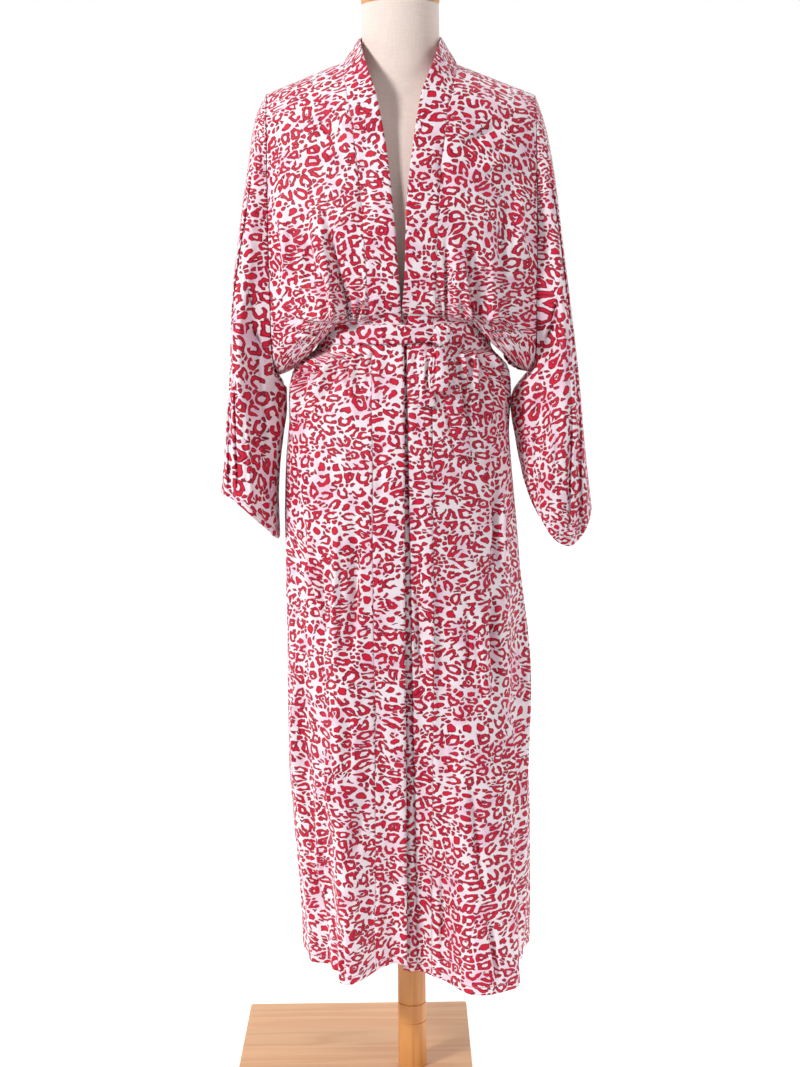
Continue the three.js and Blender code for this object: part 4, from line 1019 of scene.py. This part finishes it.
def pine(name, light, dark, grain_scale, stave=None):
    """Planed softwood with a thin clear coat: straight to gently waving rings, darker late wood in
    fine lines and a faint satin gloss."""
    material, tree = new_material(name)
    if tree is None:
        return material
    place = add(tree, "ShaderNodeTexCoord").outputs["Object"]
    if stave:
        # Edge-glued staves: each has its own stretch of wood and its own shade.
        parts = add(tree, "ShaderNodeSeparateXYZ", {0: place})
        number = math_node(tree, "FLOOR", math_node(tree, "DIVIDE", parts.outputs[1], stave * MM))
        jump = add(tree, "ShaderNodeCombineXYZ", {0: number, 1: number, 2: number}).outputs[0]
        place = vector_node(tree, "ADD", place, vector_node(tree, "SCALE", jump, 0.37))
    stretched = stretch_space(tree, place, grain_scale)
    figure = add(tree, "ShaderNodeTexNoise", {"Vector": stretched, "Scale": 1.0, "Detail": 3.0, "Distortion": 0.4})
    waves = math_node(tree, "SINE", math_node(tree, "MULTIPLY", figure.outputs[0], 34.0))
    rings = math_node(tree, "POWER", ramp(tree, waves, -1.0, 1.0), 2.2)
    fibres = stretch_space(tree, place, tuple(3.5 * s for s in grain_scale))
    fibres = noise_node(tree, fibres, 1.0, 4.0, flat=False).outputs[0]
    mixed = blend_value(tree, 0.45, rings, fibres)
    colour = blend_colour(tree, mixed, light, dark)
    if stave:
        shade = add(tree, "ShaderNodeTexWhiteNoise", {"W": number}, noise_dimensions="1D").outputs["Value"]
        colour = vector_node(tree, "SCALE", colour, ramp(tree, shade, 0, 1, 0.93, 1.04))
    bump = add(tree, "ShaderNodeBump", {"Height": mixed, "Distance": 0.15 * MM, "Strength": 0.4})
    shader = add(
        tree,
        "ShaderNodeBsdfPrincipled",
        {"Base Color": colour, "Roughness": 0.46, "Specular IOR Level": 0.45, "Coat Weight": 0.15,
         "Coat Roughness": 0.3, "Normal": bump.outputs[0]},
    )
    close_material(tree, shader)
    return material


# --- settings and operators ---


def colour_property(name, description, hex_colour):
    """Colour setting of a material, from its sRGB hex value."""
    return bpy.props.FloatVectorProperty(
        name=name, description=description, subtype="COLOR", size=4, default=linear(hex_colour)
    )


class RobeSettings(bpy.types.PropertyGroup):
    """Sizes and colours of the robe."""

    cloth_thickness: bpy.props.FloatProperty(
        name="Cloth thickness", description="Thickness of one layer at a hem, in millimetres",
        default=1.3, min=0.4, max=3
    )
    band_thickness: bpy.props.FloatProperty(
        name="Band thickness", description="Thickness of the folded collar band, in millimetres",
        default=1.9, min=1, max=3
    )
    crease_depth: bpy.props.FloatProperty(
        name="Crease depth", description="Scale of all fine creases",
        default=1.4, min=0, max=2
    )
    waviness: bpy.props.FloatProperty(
        name="Waviness", description="Height of the cloth's slow waves, in millimetres",
        default=1.0, min=0, max=3
    )
    rosette_spacing: bpy.props.FloatProperty(
        name="Rosette spacing", description="Distance between rosettes of the print, in millimetres",
        default=22.0, min=8, max=60
    )
    dash_spacing: bpy.props.FloatProperty(
        name="Dash spacing", description="Distance between the print's small marks, in millimetres",
        default=8.7, min=3, max=30
    )
    ground_pale: colour_property("Pale ground", "Lightest colour of the cloth's ground", "#F8EAF0")
    ground_pink: colour_property("Pink ground", "Pinkest colour of the cloth's ground", "#EFC8DA")
    spot_core: colour_property("Spot", "Colour inside the print's marks", "#D80A36")
    spot_outline: colour_property("Spot outline", "Colour of the marks' outlines", "#8E062C")
    linen_colour: colour_property("Linen", "Colour of the dress form's cover", "#F6E4DA")
    board_light: colour_property("Board, light", "Early wood of the board", "#E6B484")
    board_dark: colour_property("Board, dark", "Late wood of the board", "#D69A6A")
    pole_light: colour_property("Pole, light", "Early wood of the pole and cap", "#E8A662")
    pole_dark: colour_property("Pole, dark", "Late wood of the pole and cap", "#D38C4C")


class ROBE_OT_back(bpy.types.Operator):
    """Back panel, from the shoulder seams to the hem"""

    bl_idname = "robe.back"
    bl_label = "Back panel"

    def execute(self, context):
        columns = 2 * round(290 / STEP)
        points = []
        for t in body_rows():
            turn = body_row(t, 1)["turn"]
            row = []
            for part in steps(1, -1, columns):
                sign = -1 if part < 0 else 1
                across = across_at(body_row(t, sign)["half"], turn, abs(part) * turn)
                row.append(body_point(t, sign, across, False))
            row[0].y += SEAM / 2
            row[-1].y += SEAM / 2
            if t == 0:
                for point in row:
                    point.y += SEAM / 2
            points.append(row)
        back = cloth("robe_back", ["back"], points, finished=("bottom",), thick=settings().cloth_thickness)
        return {"FINISHED"}


class ROBE_OT_fronts(bpy.types.Operator):
    """Right and left front panels, from the shoulder seams to the hem"""

    bl_idname = "robe.fronts"
    bl_label = "Front panels"

    def execute(self, context):
        columns = round(400 / STEP)
        for sign in (-1, 1):
            points = []
            for t in body_rows():
                half, turn = body_row(t, sign)["half"], body_row(t, sign)["turn"]
                seam = seam_across(body_row(t, sign)["inner"], sign) + SEAM / 2
                start = math.asin(clamp(seam / half * math.sin(turn), -1, 1))
                row = [front_point(t, sign, across_at(half, turn, phi)) for phi in steps(start, turn, columns)]
                row[-1].y -= SEAM / 2
                if t == 0:
                    for point in row:
                        point.y -= SEAM / 2
                points.append(row)
            side = side_name(sign)
            front = cloth(
                f"robe_front_{side}", [f"front_{side}"], points, finished=("bottom",),
                thick=settings().cloth_thickness, centre=0.0, shift=(97.0 * sign, 61.0 * sign),
            )
        return {"FINISHED"}


class ROBE_OT_collar(bpy.types.Operator):
    """Collar band in its three stretches: down both fronts and behind the neck"""

    bl_idname = "robe.collar"
    bl_label = "Collar band"

    def execute(self, context):
        columns = max(4, round(46 / STEP))
        for sign in (-1, 1):
            points = []
            for t in body_rows():
                z = section.read("inner", t)
                if opening.read("rise", z) > 0:
                    edge, seam = band_ends(t, sign)
                    row = [edge.lerp(seam, part) for part in steps(0, 1, columns if sign < 0 else columns + 4)]
                else:
                    row = [front_point(t, sign, across) for across in band_places(z, sign, columns)]
                points.append(row)
            for point in points[0]:
                point.y -= SEAM / 2
            side = side_name(sign)
            band = cloth(
                f"robe_collar_{side}", [f"collar_{side}"], points, finished=("bottom",),
                thick=settings().band_thickness, shift=(400.0 + 80 * sign, 211.0 * sign),
            )
        self.neck(columns)
        return {"FINISHED"}

    def neck(self, columns):
        """Stretch behind the neck, standing up and outward from the back's neckline."""
        points = []
        for degrees in steps(90, -90, 44):
            s, c = math.sin(math.radians(degrees)), math.cos(math.radians(degrees))
            sign = -1 if degrees < 0 else 1
            seam = body_point(0.0, sign, NECK_HALF * abs(s), False)
            seam.y += SEAM / 2
            seam.z += ARMHOLE_GAP
            side = band_ends(0.0, sign)[0]
            edge = Vector((abs(side.x) * s, RIDGE_Y + SEAM / 2 + 54 * c, side.z + 13 * c))
            points.append([edge.lerp(seam, part) for part in steps(0, 1, columns)])
        band = cloth(
            "robe_collar_neck", ["collar_neck"], points, thick=settings().band_thickness, shift=(700.0, 50.0)
        )


class ROBE_OT_sleeves(bpy.types.Operator):
    """Wide sleeves, each a tube from armhole to open cuff"""

    bl_idname = "robe.sleeves"
    bl_label = "Sleeves"

    def execute(self, context):
        rings = round(600 / STEP)
        columns = 2 * round(380 / STEP)
        for sign in (-1, 1):
            points = [
                [sleeve_point(sign, along, degrees) for degrees in steps(-180, 180, columns)]
                for along in steps(0, 1, rings)
            ]
            for row in points:
                row[-1] = row[0].copy()
            side = side_name(sign)
            sleeve = cloth(
                f"robe_sleeve_{side}", [f"sleeve_{side}"], points, finished=("bottom",), wrapped=True,
                thick=settings().cloth_thickness, laid_flat=True, shift=(1300.0 + 450 * sign, 90.0 * sign),
            )
        return {"FINISHED"}


class ROBE_OT_belt(bpy.types.Operator):
    """Tie belt: ring, knot, loop and both tails"""

    bl_idname = "robe.belt"
    bl_label = "Tie belt"

    def execute(self, context):
        points = []
        count = 200
        for part in steps(0, 1, 10):
            row = []
            for degrees in steps(0, 360, count):
                wave = 0.7 * math.sin(math.radians(3 * degrees + 40)) + 0.35 * math.sin(math.radians(11 * degrees))
                ridge = 0.9 * math.sin(math.pi * part) + 0.35 * math.sin(math.pi * 5 * part + math.radians(4 * degrees))
                point = waist_point(lerp(10.5, 11.9, part), degrees, BELT_OUT + ridge * 0.8)
                point.z = lerp(BELT_TOP, BELT_LOW, part) + wave
                row.append(point)
            row[-1] = row[0].copy()
            points.append(row)
        ring = cloth("belt_ring", ["belt"], points, wrapped=True, thick=1.5, shift=(2500.0, 0.0))
        ends = [
            self.strip("belt_loop_cloth", "belt_loop", LOOP, (2800.0, 300.0)),
            self.strip("belt_tail_long_cloth", "belt_tail_long", TAIL_LONG, (2900.0, 500.0)),
            self.strip("belt_tail_short_cloth", "belt_tail_short", TAIL_SHORT, (3000.0, 700.0)),
        ]
        self.knot()
        return {"FINISHED"}

    def strip(self, name, node, rows, shift):
        """Hanging strip of the belt, from its table of places."""
        table = Table(STRIP_COLUMNS, rows)
        points = []
        for k in steps(0, len(rows) - 1, (len(rows) - 1) * (9)):
            x, z, off, width = (table.read(column, k) for column in STRIP_COLUMNS)
            row = []
            for part in steps(-1, 1, 10):
                across = x + part * width / 2
                skirt = front_point(section_at(round(z, 1)), -1 if across < 0 else 1, abs(across)).y
                curl = 1.1 * (1 - part * part) + 0.5 * math.sin(3 * part + z / 19)
                row.append(Vector((across, skirt - off - curl, z)))
            points.append(row)
        return cloth(name, [node], points, thick=1.6, shift=shift)

    def knot(self):
        """Rounded wrap with the belt's turns pressed into it, on the belt's slope."""
        bm = bmesh.new()
        bmesh.ops.create_uvsphere(bm, u_segments=64, v_segments=40, radius=1.0)
        length_map = bm.loops.layers.uv.new("cloth_mm")
        on_belt = math.degrees(math.asin(KNOT["x"] / section.read("left", 11.2)))
        seat = waist_point(11.2, on_belt, 0)
        near, far = waist_point(11.2, on_belt - 5, 0), waist_point(11.2, on_belt + 5, 0)
        facing = Matrix.Rotation(math.atan2(far.y - near.y, far.x - near.x), 3, "Z")
        for vert in bm.verts:
            x, y, z = (math.copysign(abs(v) ** 0.74, v) for v in vert.co)
            # Turns of the belt run down to the left across it, the upper ones over the lower.
            lean = x * 0.95 + z * 0.35
            depth = sum(deep * hump((lean - at) / wide) for at, wide, deep in KNOT_TURNS)
            swell = 1 - depth * (1 if y < 0.2 else 0.3) + 0.04 * math.sin(5 * z + 3 * x)
            waist = 1 - 0.16 * hump((z + 0.15) / 0.9) * (1 if x > 0 else 0.4)
            local = Vector((x * KNOT["wide"] / 2 * waist, y * KNOT["deep"] / 2, z * KNOT["high"] / 2)) * swell
            for loop in vert.link_loops:
                loop[length_map].uv = (2650 + local.x * 1.2 + local.z * 0.4, 100 + local.z * 1.2)
            local.y -= KNOT["off"]
            vert.co = (facing @ local + Vector((seat.x, seat.y, KNOT["z"]))) * MM
        obj = object_of(bm, "belt_knot_cloth", printed_cloth())
        finish_piece(obj, ["belt_knot"])


class ROBE_OT_form(bpy.types.Operator):
    """Dress form: torso with its neck, and the wooden neck cap"""

    bl_idname = "robe.form"
    bl_label = "Dress form"

    def execute(self, context):
        rows, columns = ((170, 112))
        bm = bmesh.new()
        bmesh.ops.create_grid(bm, x_segments=columns, y_segments=rows, size=0.5)
        for vert in bm.verts:
            degrees = (vert.co.x + 0.5) * 360
            z = lerp(FORM_LOW, NECK_TOP, vert.co.y + 0.5)
            c, s = math.cos(math.radians(degrees)), math.sin(math.radians(degrees))
            square = form.read("square", z)
            x = form.read("wide", z) * math.copysign(abs(c) ** square, c)
            y = form.read("front" if s < 0 else "back", z) * math.copysign(abs(s) ** square, s)
            # Seam round the foot of the neck, and the rounded lower edge of the cover.
            pull = 1 - 0.010 * hump((z - 1503) / 3.2) - 0.03 * (1 - smooth((z - FORM_LOW) / 9)) ** 2
            vert.co = Vector((x * pull, y * pull, z)) * MM
        bmesh.ops.remove_doubles(bm, verts=bm.verts, dist=MERGE)
        bmesh.ops.holes_fill(bm, edges=[edge for edge in bm.edges if edge.is_boundary])
        bmesh.ops.recalc_face_normals(bm, faces=bm.faces)
        for face in bm.faces:
            face.smooth = len(face.verts) == 4
        torso = object_of(bm, "form_torso_cover", linen(), smooth_faces=False)
        finish_piece(torso, ["form_torso"])
        low = NECK_TOP + SEAM
        profile = [(radius, low + up) for radius, up in CAP_PROFILE]
        spun("form_cap_turned", ["form_neck_cap"], profile, pole_pine())
        return {"FINISHED"}


def pole_pine():
    """The pine of the pole and the neck cap."""
    props = settings()
    # Grain runs up the pole: rings about 3 mm apart, streaks 200 mm long.
    return pine("turned_clear_pine", props.pole_light, props.pole_dark, (30, 30, 1.6))


class ROBE_OT_stand(bpy.types.Operator):
    """Stand: turned pole with two grooves, and the board it stands on"""

    bl_idname = "robe.stand"
    bl_label = "Stand"

    def execute(self, context):
        low, high = BOARD_THICK + SEAM, FORM_LOW - SEAM
        profile = [(0, low), (POLE_RADIUS - 0.5, low), (POLE_RADIUS, low + 0.6)]
        for z in GROOVES:
            profile += [(POLE_RADIUS - deep, z + up) for up, deep in GROOVE_PROFILE]
        profile += [(POLE_RADIUS, high - 0.6), (POLE_RADIUS - 0.5, high), (0, high)]
        spun("stand_pole_turned", ["stand_pole"], profile, pole_pine())
        bm = bmesh.new()
        bmesh.ops.create_cube(bm, size=1.0)
        middle = Vector((sum(BOARD_X) / 2, sum(BOARD_Y) / 2, BOARD_THICK / 2)) * MM
        size = Vector((BOARD_X[1] - BOARD_X[0], BOARD_Y[1] - BOARD_Y[0], BOARD_THICK)) * MM
        bmesh.ops.scale(bm, verts=bm.verts, vec=size)
        bmesh.ops.translate(bm, verts=bm.verts, vec=middle)
        upright = [e for e in bm.edges if abs(e.verts[0].co.z - e.verts[1].co.z) > 1e-4]
        bmesh.ops.bevel(bm, geom=upright, offset=4 * MM, affect="EDGES", segments=6, profile=0.5, material=-1)
        top = [e for e in bm.edges if all(v.co.z > BOARD_THICK * MM - 1e-5 for v in e.verts) and len(e.link_faces) == 2]
        bmesh.ops.bevel(bm, geom=top, offset=1.5 * MM, affect="EDGES", segments=4, profile=0.5, material=-1)
        props = settings()
        # Grain runs along the board: staves 64 mm wide, rings about 5 mm apart.
        wood = pine("edge_glued_pine", props.board_light, props.board_dark, (1.3, 16, 16), stave=64)
        finish_piece(object_of(bm, "stand_board", wood, sharp=30), ["stand_base"])
        return {"FINISHED"}


class ROBE_OT_stage(bpy.types.Operator):
    """Pale floor, soft lights and the camera"""

    bl_idname = "robe.stage"
    bl_label = "Stage"

    def execute(self, context):
        scene = context.scene
        bm = bmesh.new()
        # It starts short of the camera, so that its glare doesn't flatten the folds in front.
        placed = Matrix.Translation((0, 5.45, 0))
        bmesh.ops.create_grid(bm, x_segments=1, y_segments=1, size=6.0, matrix=placed)
        material, tree = new_material("studio_floor_paint")
        paint = {"Base Color": (1, 1, 1, 1), "Roughness": 0.95, "Specular IOR Level": 0.1,
                 "Emission Color": (1, 1, 1, 1), "Emission Strength": 0.5}
        close_material(tree, add(tree, "ShaderNodeBsdfPrincipled", paint))
        floor = object_of(bm, "floor", material, smooth_faces=False)
        scene.collection.objects.link(floor)
        world = bpy.data.worlds.new("studio")
        world.use_nodes = True
        tree = world.node_tree
        way = add(tree, "ShaderNodeSeparateXYZ", {0: add(tree, "ShaderNodeTexCoord").outputs["Object"]}).outputs[1]
        light = ramp(tree, way, -0.25, 0.55, 0.26, 1.0)
        tree.links.new(light, tree.nodes["Background"].inputs["Strength"])
        tree.nodes["Background"].inputs["Color"].default_value = (1, 1, 1, 1)
        scene.world = world
        for name, place, target, size, power in (
            ("key", (-2.3, -1.95, 2.5), (0, 0, 0.9), 0.55, 89),
            ("fill", (2.3, -2.2, 1.5), (0, 0, 0.9), 1.8, 27),
            ("top", (0.3, 0.3, 3.4), (0, 0, 0.8), 1.4, 8),
        ):
            lamp = bpy.data.lights.new(name, "AREA")
            lamp.size = size
            lamp.energy = power
            light = bpy.data.objects.new(name, lamp)
            light.location = place
            light.rotation_euler = (Vector(target) - Vector(place)).to_track_quat("-Z", "Y").to_euler()
            scene.collection.objects.link(light)
        lens = bpy.data.cameras.new("camera")
        lens.lens = 57.36
        lens.sensor_width = 36.0
        lens.clip_end = 50
        camera = bpy.data.objects.new("camera", lens)
        camera.matrix_world = (
            Matrix.Translation((-0.0095, -2.47, 1.235))
            @ Matrix.Rotation(math.radians(90 - 8.8), 4, "X")
            @ Matrix.Rotation(math.radians(-0.7), 4, "Z")
        )
        scene.collection.objects.link(camera)
        scene.camera = camera
        scene.view_settings.view_transform = "Standard"
        return {"FINISHED"}


class ROBE_PT_panel(bpy.types.Panel):
    """Sizes, colours and steps of the robe"""

    bl_label = "Kimono robe"
    bl_idname = "ROBE_PT_panel"
    bl_space_type = "VIEW_3D"
    bl_region_type = "UI"
    bl_category = "Robe"

    def draw(self, context):
        layout = self.layout
        for name in RobeSettings.__annotations__:
            layout.prop(context.scene.kimono_robe, name)
        for operator in OPERATORS:
            layout.operator(operator.bl_idname)


OPERATORS = (
    ROBE_OT_back, ROBE_OT_fronts, ROBE_OT_collar, ROBE_OT_sleeves, ROBE_OT_belt, ROBE_OT_form, ROBE_OT_stand,
    ROBE_OT_stage,
)
CLASSES = (RobeSettings, *OPERATORS, ROBE_PT_panel)


def register():
    for cls in CLASSES:
        bpy.utils.register_class(cls)
    bpy.types.Scene.kimono_robe = bpy.props.PointerProperty(type=RobeSettings)


def unregister():
    del bpy.types.Scene.kimono_robe
    for cls in reversed(CLASSES):
        bpy.utils.unregister_class(cls)


def main():
    register()
    bpy.ops.robe.stage()
    bpy.ops.robe.form()
    bpy.ops.robe.stand()
    bpy.ops.robe.back()
    bpy.ops.robe.fronts()
    bpy.ops.robe.collar()
    bpy.ops.robe.sleeves()
    bpy.ops.robe.belt()


if __name__ == "__main__":
    main()
